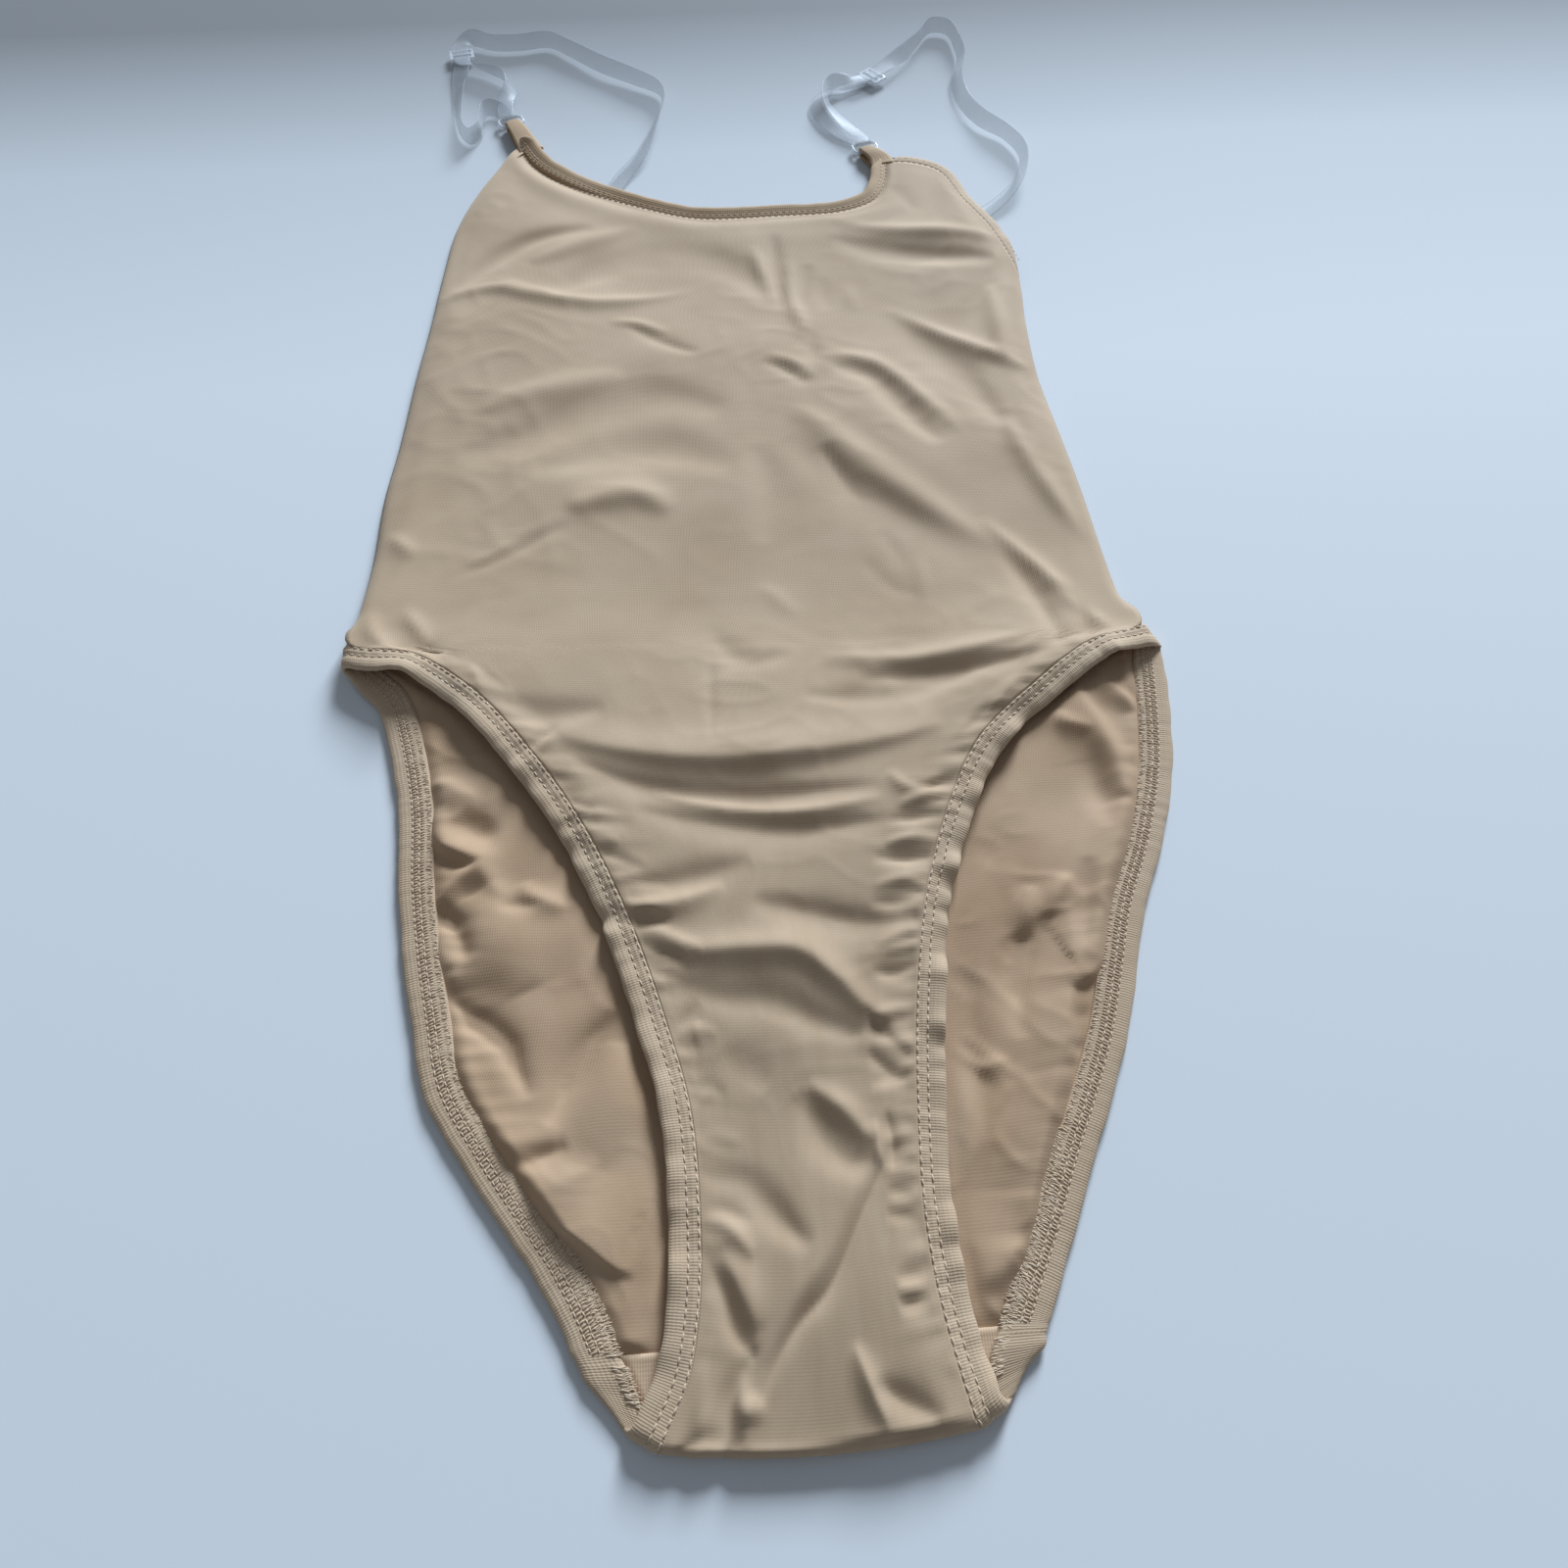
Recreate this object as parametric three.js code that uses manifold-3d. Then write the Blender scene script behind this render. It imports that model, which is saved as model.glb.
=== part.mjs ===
import * as THREE from 'three';
import { mergeVertices } from 'three/addons/utils/BufferGeometryUtils.js';
import Module from 'manifold-3d';

// A camisole leotard laid flat on its back, in millimetres. +X is the viewer's right, +Y runs from
// the crotch fold up to the straps, and +Z is up from the table. The front lies on the back.

// Thicknesses and gaps
const WALL = 1.2;
const SEAM = 0.3;
const BAND = 2.0;
const TURNED_HEM = 1.6;
const LINING = 1.0;
const TAPE = 0.9;

// Widths of the sewn edges and of the clear tape
const LEG_BAND = 10;
const NECK_BAND = 8;
const ARM_BAND = 6;
const TOP_BAND = 8;
const TAPE_WIDTH = 9;
const TAB_WIDTH = 10;

// The share of a band's thickness that its rounded edges take
const BAND_ROUND = 0.3;
// The armhole hem starts narrow at the underarm and is full after a few stations
const HEM_START = 0.25;
const HEM_START_STATIONS = 4;
// How far in the left armhole hem is turned under
const HEM_TUCK = 1;

// How far the crotch lining stays in from the leg bands, the fold and the seam
const LINING_INSET = 2.5;
const LINING_FROM_FOLD = 1.5;
const LINING_FROM_SEAM = 1;

// The crotch fold: its lowest line bows up towards the leg bands
const FOLD_RADIUS = 2.75;
const FOLD_MIDDLE_Y = -3;
const FOLD_BOW = 4;
const FOLD_HALF_WIDTH = 46;
const FOLD_STEPS = 6;
const FOLD_SPREAD = 0.12;

// How far in from an edge the front takes to reach its full height, and how high its folds start
const EDGE_ROUND = 16;
const EDGE_START = 4;
// A fold rises quickly from its ends, and is calm near the ends of its panel
const FOLD_CREST = 0.7;
const CALM_ROWS = 3;
const CALM_CELLS = 2;

// Rings and sliders of clear plastic
const RING_LONG = 15;
const RING_SHORT = 9;
const RING_WIRE = 0.9;
const RING_CORNER = 2.2;
const RING_LEAD = 3;
const RING_Z = 2.35;
const SLIDER_LONG = 14;
const SLIDER_SHORT = 10;
const SLIDER_THICK = 1.6;
const SLIDER_BAR = 1.8;
const SLIDER_Z = 1.7;

// Grid counts
const FRONT_COLUMNS = 24;
const BACK_COLUMNS = 20;
const LINING_COLUMNS = 8;
const LINING_ROWS = 3;
const STEPS_PER_ROW = 2;
const UNDER_SHARES = [0.5, 1];
const TAPE_STEPS = 3;
const TURN_STEPS = 6;
const WIRE_SIDES = 6;
const BEND_REACH = 0.4;

const wasm = await Module();
wasm.setup();

function table(columns, rows) {
  return rows.map((row) => Object.fromEntries(columns.map((name, i) => [name, row[i]])));
}

// Rows across the front, from the crotch fold to the neckline: both ends of each row, and the
// height of the outer face at those ends and in the middle
const FRONT_ROWS = table(['leftX', 'leftY', 'rightX', 'rightY', 'edge', 'middle'], [
  [-44, 4, 43, 4, 5.5, 5.5],
  [-37, 18, 40, 18, 5.6, 5.8],
  [-33, 38, 37, 38, 5.8, 6.2],
  [-32, 64, 36, 62, 6.0, 6.4],
  [-34, 96, 38, 92, 6.2, 6.6],
  [-42, 128, 42, 125, 6.4, 7.0],
  [-54, 165, 49, 160, 6.4, 7.0],
  [-70, 201, 60, 192, 6.2, 7.0],
  [-89, 232, 78, 226, 6.0, 6.8],
  [-111, 260, 104, 250, 5.6, 6.4],
  [-136, 280, 130, 269, 5.0, 6.2],
  [-164, 288, 152, 277, 4.5, 6.0],
  [-164, 304, 149, 296, 3.2, 5.8],
  [-161, 335, 147, 322, 2.7, 5.8],
  [-160, 372, 145, 358, 2.7, 5.8],
  [-156, 408, 142, 394, 2.7, 5.8],
  [-153, 446, 139, 430, 2.7, 5.6],
  [-149, 486, 140, 468, 2.7, 5.4],
  [-146, 524, 142, 502, 3.0, 5.2],
  [-142, 556, 134, 538, 3.8, 5.0],
  [-132, 587, 123, 563, 4.4, 5.0],
  [-120, 614, 112, 590, 4.5, 4.8],
  [-113, 632, 86, 601, 4.5, 4.6],
]);

// Indexes into the front rows: the leg edge ends at the hip corner, the armhole starts at the underarm
const HIP_ROW = 11;
const UNDERARM_ROW = 18;
const LEFT_HEM_ROW = 19;

// The panel's upper edge, from the left strap point to the right one
const NECKLINE = table(['x', 'y'], [
  [-113, 632],
  [-102, 610],
  [-79, 589],
  [-50, 571],
  [-15, 557],
  [30, 556],
  [60, 558],
  [77, 567],
  [84, 584],
  [86, 601],
]);

// Rows across the back, from the crotch seam to the underarm. The side rows follow the front's.
const BACK_ROWS = table(['leftX', 'leftY', 'rightX', 'rightY'], [
  [-59, 24, 57, 24],
  [-65, 38, 64, 38],
  [-74, 54, 73, 55],
  [-86, 71, 82, 74],
  [-99, 90, 93, 95],
  [-111, 110, 102, 114],
  [-117, 134, 110, 136],
  [-122, 158, 118, 159],
  [-126, 184, 130, 184],
  [-129, 216, 141, 214],
  [-136, 247, 146, 238],
  [-147, 265, 149, 258],
  [-164, 289, 152, 278],
]);
const BACK_HIP_ROW = 12;

const BACK_TOP = table(['x', 'y'], [
  [-146, 524],
  [-112, 540],
  [-78, 546],
  [-38, 520],
  [16, 505],
  [68, 517],
  [107, 535],
  [124, 520],
  [142, 502],
]);

// Folds: the two ends of the line, its sideways bow, half width and rise (a fall is negative)
const FOLD_COLUMNS = ['x1', 'y1', 'x2', 'y2', 'bow', 'width', 'rise'];
const FRONT_FOLDS = table(FOLD_COLUMNS, [
  [-139, 535, -50, 556, 2, 9, -1.2],
  [-147, 502, -20, 500, 3, 10, 2.2],
  [-108, 518, -10, 524, -6, 9, -1.2],
  [14, 548, 22, 480, 0, 8, -1.4],
  [45, 530, 128, 519, -5, 9, -1.6],
  [50, 552, 138, 532, -4, 8, 1.8],
  [72, 486, 114, 394, 6, 10, -2.2],
  [74, 478, 137, 427, -4, 8, 2.2],
  [48, 436, 128, 338, 4, 9, 2.0],
  [-120, 396, -42, 428, 3, 13, 2.6],
  [-108, 386, -10, 396, 0, 16, -2.4],
  [-122, 342, -38, 366, 4, 10, 1.6],
  [56, 362, 122, 298, 2, 9, 2.0],
  [28, 296, 112, 270, -5, 10, 1.6],
  [-80, 246, 62, 232, -9, 9, 3.0],
  [-76, 236, 52, 214, -8, 7, -2.4],
  [-54, 212, 48, 197, -4, 8, -1.4],
  [-64, 166, -12, 178, -2, 8, 2.0],
  [-14, 170, 44, 156, -2, 8, -1.6],
  [-56, 157, 42, 112, 10, 9, 2.4],
  [-40, 141, 26, 116, 4, 8, -1.6],
  [30, 92, -16, 12, 3, 7, -2.0],
  [2, 98, 12, 70, 0, 8, -1.4],
  [-34, 78, -6, 58, 2, 8, -1.4],
]);
const BACK_FOLDS = table(FOLD_COLUMNS, [
  [-113, 186, -84, 122, -4, 8, 3.0],
  [-117, 148, -60, 52, -16, 9, 2.4],
  [-60, 132, -80, 94, 2, 7, 1.6],
  [128, 262, 132, 200, 3, 8, 4.0],
  [112, 180, 84, 62, 8, 8, 3.0],
  [92, 172, 66, 60, -6, 8, 1.6],
  [44, 34, 74, 52, 3, 6, 1.6],
]);

// Tape runs: a point, its height and how far the tape leans over from lying flat, in degrees
const RUN_COLUMNS = ['x', 'y', 'z', 'lean'];
const LEFT_RUN = table(RUN_COLUMNS, [
  [-149.4, 720.4, 4.05, 0],
  [-150.4, 726, 4.05, 0],
  [-150.6, 731.5, 4.6, 0],
  [-144, 737, 5.4, 60],
  [-132, 731, 5.4, 80],
  [-116, 730, 5.4, 80],
  [-99, 732, 5.4, 80],
  [-86, 721, 5.4, 75],
  [-67, 703, 5.4, 60],
  [-50, 690, 5.4, 75],
  [-35, 677, 5.4, 90],
  [-33, 664, 5.4, 70],
  [-39, 640, 4.2, 50],
  [-46, 618, 2.6, 20],
  [-56, 600, 0.9, 0],
  [-65, 582, 0.8, 0],
  [-72, 567, 0.8, 0],
  [-77.2, 554.9, 0.8, 0],
]);
const LEFT_UPPER_LOOP = table(RUN_COLUMNS, [
  [-121, 672, 4.6, 15],
  [-119, 683, 5.4, 50],
  [-123, 694, 6.0, 75],
  [-134, 703, 5.6, 60],
  [-147, 711, 4.5, 15],
  [-149.2, 719.2, 4.05, 0],
]);
const LEFT_LOWER_LOOP = table(RUN_COLUMNS, [
  [-126, 666, 3.4, -35],
  [-132, 664, 5.2, -80],
  [-134, 654, 5.2, -85],
  [-134, 643, 5.2, -85],
  [-139, 637, 5.2, -85],
  [-144, 644, 5.0, -75],
  [-147, 662, 4.6, -55],
  [-149, 684, 3.4, -35],
  [-150, 702, 1.8, -12],
  [-150, 714, 0.8, 0],
  [-150, 724, 0.8, 0],
]);
const RIGHT_RUN = table(RUN_COLUMNS, [
  [85.6, 683.1, 4.05, 0],
  [88, 685, 4.05, 0],
  [97, 692, 4.7, 10],
  [108, 703, 5.4, 55],
  [118, 717, 5.4, 85],
  [128, 732, 5.4, 85],
  [137, 730, 5.4, 85],
  [141, 712, 5.4, 75],
  [141, 697, 5.4, 60],
  [136, 678, 5.0, 45],
  [136, 658, 4.6, 40],
  [143, 636, 5.2, 60],
  [155, 620, 5.4, 85],
  [161, 602, 5.4, 75],
  [155, 580, 4.0, 45],
  [143, 564, 2.1, 14],
  [130, 554, 0.8, 0],
  [119, 551, 0.8, 0],
  [109.5, 547, 0.8, 0],
]);
const RIGHT_UPPER_LOOP = table(RUN_COLUMNS, [
  [68, 634, 4.6, 10],
  [61, 650, 5.2, 30],
  [59, 664, 5.6, 60],
  [64, 675, 5.6, 60],
  [76, 676.4, 4.6, 15],
  [84.6, 682.3, 4.05, 0],
]);
const RIGHT_LOWER_LOOP = table(RUN_COLUMNS, [
  [64, 633, 1.2, 0],
  [56, 645, 2.4, -20],
  [53, 657, 3.0, -30],
  [58, 668, 2.4, -20],
  [69, 675, 1.2, 0],
  [87, 684.4, 0.8, 0],
]);

// Where the rings and sliders lie, with the way from garment to strap in degrees from +X
const HARDWARE = {
  left: { ringX: -118, ringY: 654, ringTurn: 113, sliderX: -150, sliderY: 724, sliderTurn: 100 },
  right: { ringX: 76.5, ringY: 616, ringTurn: 104, sliderX: 88, sliderY: 685, sliderTurn: 38 },
};
// The cloth tips that carry the rings
const TIPS = {
  left: { x: -109.7, y: 634.3 },
  right: { x: 79.6, y: 603.2 },
};

const CLOTH = { color: 0xb9ab96, roughness: 0.72, metalness: 0 };
const INSIDE = { color: 0xb7a591, roughness: 0.75, metalness: 0 };
const ELASTIC = { color: 0xbcaf9a, roughness: 0.68, metalness: 0 };
const CLEAR = { color: 0xdfe8ec, roughness: 0.2, metalness: 0 };

const smooth = (t) => {
  const c = Math.min(Math.max(t, 0), 1);
  return c * c * (3 - 2 * c);
};
const mix = (a, b, t) => a + (b - a) * t;
const radians = THREE.MathUtils.degToRad;
const UP = new THREE.Vector3(0, 0, 1);

function curve(points) {
  return new THREE.CatmullRomCurve3(points, false, 'centripetal');
}

function at(rows, key, t) {
  const i = Math.min(Math.floor(t), rows.length - 2);
  return mix(rows[i][key], rows[i + 1][key], smooth(t - i));
}

function foldHeight(folds, x, y) {
  let height = 0;
  for (const fold of folds) {
    const dx = fold.x2 - fold.x1;
    const dy = fold.y2 - fold.y1;
    const length = Math.hypot(dx, dy);
    const along = ((x - fold.x1) * dx + (y - fold.y1) * dy) / (length * length);
    if (along <= 0 || along >= 1) continue;
    const bow = fold.bow * 4 * along * (1 - along);
    const across = ((y - fold.y1) * dx - (x - fold.x1) * dy) / length - bow;
    height += fold.rise * Math.exp(-((across / fold.width) ** 2)) * Math.sin(Math.PI * along) ** FOLD_CREST;
  }
  return height;
}

// A flat grid whose rows run straight from side to side and bend near both ends to the end curves
function flatGrid(left, right, bottom, top) {
  const rows = left.length - 1;
  const columns = bottom.length - 1;
  const bend = (end, u, i) => end[i].clone().sub(end[0].clone().lerp(end[columns], u));
  return left.map((_, j) => bottom.map((__, i) => {
    const u = i / columns;
    const v = j / rows;
    const point = left[j].clone().lerp(right[j], u);
    point.addScaledVector(bend(bottom, u, i), smooth(1 - v / BEND_REACH));
    return point.addScaledVector(bend(top, u, i), smooth((v - 1 + BEND_REACH) / BEND_REACH));
  }));
}

function sideCurves(rows) {
  const count = (rows.length - 1) * STEPS_PER_ROW;
  const left = curve(rows.map((row) => new THREE.Vector3(row.leftX, row.leftY, 0)));
  const right = curve(rows.map((row) => new THREE.Vector3(row.rightX, row.rightY, 0)));
  return [left.getPoints(count), right.getPoints(count)];
}

function endCurve(points, columns) {
  return curve(points.map((p) => new THREE.Vector3(p.x, p.y, 0))).getSpacedPoints(columns);
}

function closedGeometry(points, triangles) {
  let volume = 0;
  for (const [a, b, c] of triangles) {
    volume += points[a].dot(points[b].clone().cross(points[c]));
  }
  const index = volume > 0 ? triangles.flat() : triangles.flatMap(([a, b, c]) => [a, c, b]);
  const geometry = new THREE.BufferGeometry().setFromPoints(points);
  geometry.setIndex(index);
  geometry.computeVertexNormals();
  return geometry;
}

function gridNormals(grid) {
  return grid.map((row, j) => row.map((_, i) => {
    const ahead = grid[Math.min(j + 1, grid.length - 1)][i];
    const beside = row[Math.min(i + 1, row.length - 1)];
    const along = ahead.clone().sub(grid[Math.max(j - 1, 0)][i]);
    const across = beside.clone().sub(row[Math.max(i - 1, 0)]);
    return across.cross(along).normalize();
  }));
}

// A wall of even thickness under a grid of outer points, closed round its four edges
function wall(outer, thickness) {
  const normals = gridNormals(outer);
  const rows = outer.length;
  const columns = outer[0].length;
  const inner = outer.map((row, j) => row.map((p, i) => (
    p.clone().addScaledVector(normals[j][i], -thickness)
  )));
  const points = [...outer.flat(), ...inner.flat()];
  const base = rows * columns;
  const triangles = [];
  const quad = (a, b, c, d) => triangles.push([a, b, c], [a, c, d]);
  for (let j = 0; j < rows - 1; j += 1) {
    for (let i = 0; i < columns - 1; i += 1) {
      const a = j * columns + i;
      quad(a, a + 1, a + columns + 1, a + columns);
      quad(base + a, base + a + columns, base + a + columns + 1, base + a + 1);
    }
  }
  for (let i = 0; i < columns - 1; i += 1) {
    const last = (rows - 1) * columns + i;
    quad(i + 1, i, base + i, base + i + 1);
    quad(last, last + 1, base + last + 1, base + last);
  }
  for (let j = 0; j < rows - 1; j += 1) {
    const a = j * columns;
    const b = a + columns - 1;
    quad(a, a + columns, base + a + columns, base + a);
    quad(b + columns, b, base + b, base + b + columns);
  }
  return closedGeometry(points, triangles);
}

// A solid through a row of sections, closed on itself or capped at both ends
function sweep(sections, closed = false) {
  const sides = sections[0].length;
  const count = sections.length;
  const triangles = [];
  for (let j = 0; j < (closed ? count : count - 1); j += 1) {
    for (let i = 0; i < sides; i += 1) {
      const a = j * sides + i;
      const b = j * sides + ((i + 1) % sides);
      const c = ((j + 1) % count) * sides + i;
      const d = ((j + 1) % count) * sides + ((i + 1) % sides);
      triangles.push([a, b, d], [a, d, c]);
    }
  }
  if (!closed) {
    const last = (count - 1) * sides;
    for (let i = 1; i < sides - 1; i += 1) {
      triangles.push([0, i + 1, i], [last, last + i, last + i + 1]);
    }
  }
  return closedGeometry(sections.flat(), triangles);
}

// A sewn edge: stations run along a panel's edge, each with its way out and its way to the inside
function bandSections(stations, widthAt, thickness, depth = 0) {
  const round = thickness * BAND_ROUND;
  return stations.map(({ point, out, inside }, k) => {
    const width = widthAt(k);
    const profile = [
      [SEAM, 0],
      [width - round, 0],
      [width, round],
      [width, thickness - round],
      [width - round, thickness],
      [SEAM, thickness],
    ];
    return profile.map(([across, down]) => (
      point.clone().addScaledVector(out, across).addScaledVector(inside, down + depth)
    ));
  });
}

function edgeStations(edge, neighbour, normals) {
  return edge.map((point, k) => {
    const ahead = edge[Math.min(k + 1, edge.length - 1)];
    const behind = edge[Math.max(k - 1, 0)];
    const tangent = ahead.clone().sub(behind).normalize();
    const out = point.clone().sub(neighbour[k]);
    out.addScaledVector(tangent, -out.dot(tangent)).normalize();
    return { point, out, inside: normals[k].clone().negate() };
  });
}

function evenOut(stations) {
  return stations.map((station, k) => {
    const out = new THREE.Vector3();
    for (const step of [-1, 0, 1]) {
      const near = stations[Math.min(Math.max(k + step, 0), stations.length - 1)];
      out.add(near.out);
    }
    return { ...station, out: out.normalize() };
  });
}

// A leg band is level where the cloth lies flat. It starts square to the crotch seam and ends along
// the side of the hip.
function levelled(stations, isFlat, side) {
  return stations.map((station, k) => {
    const out = station.out.clone();
    if (k === 0) out.set(side, 0, 0);
    if (k === stations.length - 1) out.set(0, -1, 0);
    if (isFlat(k)) out.setZ(0).normalize();
    return { ...station, out };
  });
}

// The front: top face rows, then the crotch fold and the short stretch on the table up to the seam
function foldLine(x) {
  return FOLD_MIDDLE_Y + FOLD_BOW * (x / FOLD_HALF_WIDTH) ** 2;
}

function frontGrid() {
  const [left, right] = sideCurves(FRONT_ROWS);
  const columns = Array.from({ length: FRONT_COLUMNS + 1 }, (_, i) => i / FRONT_COLUMNS);
  const bottom = columns.map((u) => {
    const x = mix(FRONT_ROWS[0].leftX, FRONT_ROWS[0].rightX, u);
    return new THREE.Vector3(x, foldLine(x) + FOLD_RADIUS, 0);
  });
  left[0].copy(bottom[0]);
  right[0].copy(bottom[FRONT_COLUMNS]);
  const flat = flatGrid(left, right, bottom, endCurve(NECKLINE, FRONT_COLUMNS));
  const top = flat.map((row, j) => row.map((p, i) => {
    const t = j / STEPS_PER_ROW;
    const fromEdge = Math.min(p.distanceTo(row[0]), p.distanceTo(row[FRONT_COLUMNS]));
    const fromEnd = Math.min(j, flat.length - 1 - j);
    const full = smooth(fromEdge / EDGE_ROUND);
    const lie = mix(at(FRONT_ROWS, 'edge', t), at(FRONT_ROWS, 'middle', t), full);
    const loose = smooth(fromEnd / CALM_ROWS) * smooth((fromEdge + EDGE_START) / EDGE_ROUND);
    return new THREE.Vector3(p.x, p.y, lie + foldHeight(FRONT_FOLDS, p.x, p.y) * loose);
  }));
  const turn = [];
  for (let k = 1; k <= FOLD_STEPS; k += 1) {
    const angle = Math.PI / 2 - (Math.PI * k) / FOLD_STEPS;
    const spread = 1 + (FOLD_SPREAD * k) / FOLD_STEPS;
    turn.push(bottom.map((p) => new THREE.Vector3(
      p.x * spread,
      p.y - FOLD_RADIUS * Math.cos(angle),
      FOLD_RADIUS + FOLD_RADIUS * Math.sin(angle),
    )));
  }
  const seam = BACK_ROWS[0];
  const under = UNDER_SHARES.map((share) => bottom.map((p, i) => {
    const x = mix(p.x * (1 + FOLD_SPREAD), mix(seam.leftX, seam.rightX, columns[i]), share);
    return new THREE.Vector3(x, mix(p.y, seam.leftY - SEAM, share), 0);
  }));
  return [...under.reverse(), ...turn.reverse(), ...top];
}

const FRONT = frontGrid();
const FRONT_NORMALS = gridNormals(FRONT);
const UNDER_ROWS = UNDER_SHARES.length + FOLD_STEPS;

// The back: its underside rests on the table and lifts only under its folds
function backGrid() {
  const sides = FRONT_ROWS.slice(HIP_ROW + 1, UNDERARM_ROW + 1);
  const rows = [...BACK_ROWS, ...sides];
  const [left, right] = sideCurves(rows);
  const bottom = endCurve([
    { x: rows[0].leftX, y: rows[0].leftY },
    { x: rows[0].rightX, y: rows[0].rightY },
  ], BACK_COLUMNS);
  const flat = flatGrid(left, right, bottom, endCurve(BACK_TOP, BACK_COLUMNS));
  return flat.map((row, j) => row.map((p, i) => {
    const fromEdge = Math.min(i, BACK_COLUMNS - i);
    const loose = smooth(fromEdge / CALM_CELLS) * smooth(j / CALM_CELLS);
    return new THREE.Vector3(p.x, p.y, Math.max(foldHeight(BACK_FOLDS, p.x, p.y) * loose, 0));
  }));
}

const BACK = backGrid();
const column = (grid, i) => grid.map((row) => row[i]);

// The wall is built from the underside up, so the grid's normals point to the inside here
function backStations(side, from, to) {
  const edge = side < 0 ? 0 : BACK_COLUMNS;
  const next = edge - side;
  const points = column(BACK, edge).slice(from, to + 1);
  const near = column(BACK, next).slice(from, to + 1);
  return evenOut(edgeStations(points, near, points.map(() => UP.clone().negate())));
}

function frontStations(side, from, to) {
  const edge = side < 0 ? 0 : FRONT_COLUMNS;
  const next = edge - side;
  const points = column(FRONT, edge).slice(from, to + 1);
  const near = column(FRONT, next).slice(from, to + 1);
  const normals = column(FRONT_NORMALS, edge).slice(from, to + 1);
  return evenOut(edgeStations(points, near, normals));
}

function legBandFront(side) {
  const to = UNDER_ROWS + HIP_ROW * STEPS_PER_ROW;
  const isFlat = (k) => k < UNDER_SHARES.length || k >= UNDER_ROWS;
  const stations = levelled(frontStations(side, 0, to), isFlat, side);
  return sweep(bandSections(stations, () => LEG_BAND, BAND));
}

function legBandBack(side) {
  const to = BACK_HIP_ROW * STEPS_PER_ROW;
  const stations = levelled(backStations(side, 0, to), () => true, side);
  return sweep(bandSections(stations, () => LEG_BAND, BAND));
}

function armBandRight() {
  const from = UNDER_ROWS + UNDERARM_ROW * STEPS_PER_ROW;
  const widthAt = (k) => ARM_BAND * mix(HEM_START, 1, smooth(k / HEM_START_STATIONS));
  return sweep(bandSections(frontStations(1, from, FRONT.length - 1), widthAt, BAND));
}

// The left armhole hem is turned under the front
function armBandLeft() {
  const from = UNDER_ROWS + LEFT_HEM_ROW * STEPS_PER_ROW;
  const stations = frontStations(-1, from, FRONT.length - 2).map((station) => ({
    ...station,
    point: station.point.clone().addScaledVector(station.out, -HEM_TUCK),
    out: station.out.clone().negate(),
  }));
  return sweep(bandSections(stations, () => ARM_BAND, TURNED_HEM, WALL + SEAM));
}

function neckBand() {
  const top = FRONT.length - 1;
  const stations = evenOut(edgeStations(FRONT[top], FRONT[top - 1], FRONT_NORMALS[top]));
  return sweep(bandSections(stations, () => NECK_BAND, BAND));
}

function backTopBand() {
  const top = BACK.length - 1;
  const downs = BACK[top].map(() => UP.clone().negate());
  const stations = evenOut(edgeStations(BACK[top], BACK[top - 1], downs));
  return sweep(bandSections(stations.slice(1, -1), () => TOP_BAND, WALL));
}

// The lining lies on the crotch's inner face, between the leg bands
function crotchLining() {
  const from = FOLD_RADIUS + LINING_FROM_FOLD;
  const to = BACK_ROWS[0].leftY - SEAM - LINING_FROM_SEAM;
  const grid = [];
  for (let j = 0; j <= LINING_ROWS; j += 1) {
    const share = j / LINING_ROWS;
    const half = mix(FOLD_HALF_WIDTH, BACK_ROWS[0].rightX, share) - LINING_INSET;
    grid.push(Array.from({ length: LINING_COLUMNS + 1 }, (_, i) => (
      new THREE.Vector3(mix(-half, half, i / LINING_COLUMNS), mix(from, to, share), WALL + SEAM + LINING)
    )));
  }
  return wall(grid, LINING);
}

function runStations(rows) {
  const path = curve(rows.map((row) => new THREE.Vector3(row.x, row.y, row.z)));
  const steps = (rows.length - 1) * TAPE_STEPS;
  return Array.from({ length: steps + 1 }, (_, k) => {
    const t = k / steps;
    const tangent = path.getTangent(t);
    const level = new THREE.Vector3(-tangent.y, tangent.x, 0).normalize();
    const lean = radians(at(rows, 'lean', t * (rows.length - 1)));
    return { point: path.getPoint(t), across: level.applyAxisAngle(tangent, lean) };
  });
}

// Half a turn round a ring's bar, from below it to above it
function turnStations(bar, away, radius) {
  const across = new THREE.Vector3(-away.y, away.x, 0);
  return Array.from({ length: TURN_STEPS + 1 }, (_, k) => {
    const angle = -Math.PI / 2 + (Math.PI * k) / TURN_STEPS;
    const point = bar.clone().addScaledVector(away, -radius * Math.cos(angle));
    point.z += radius * Math.sin(angle);
    return { point, across };
  });
}

function tapeSections(stations, width, thickness) {
  return stations.map(({ point, across }, k) => {
    const ahead = stations[Math.min(k + 1, stations.length - 1)].point;
    const behind = stations[Math.max(k - 1, 0)].point;
    const tangent = ahead.clone().sub(behind).normalize();
    const wide = across.clone().addScaledVector(tangent, -across.dot(tangent)).normalize();
    const thick = tangent.clone().cross(wide);
    return [[-1, -1], [1, -1], [1, 1], [-1, 1]].map(([a, b]) => (
      point.clone().addScaledVector(wide, (a * width) / 2).addScaledVector(thick, (b * thickness) / 2)
    ));
  });
}

function heading(degrees) {
  return new THREE.Vector3(Math.cos(radians(degrees)), Math.sin(radians(degrees)), 0);
}

function ringBar(side, sign) {
  const place = HARDWARE[side];
  const away = heading(place.ringTurn);
  const bar = new THREE.Vector3(place.ringX, place.ringY, RING_Z);
  return bar.addScaledVector(away, sign * (RING_SHORT / 2 - RING_WIRE));
}

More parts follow.
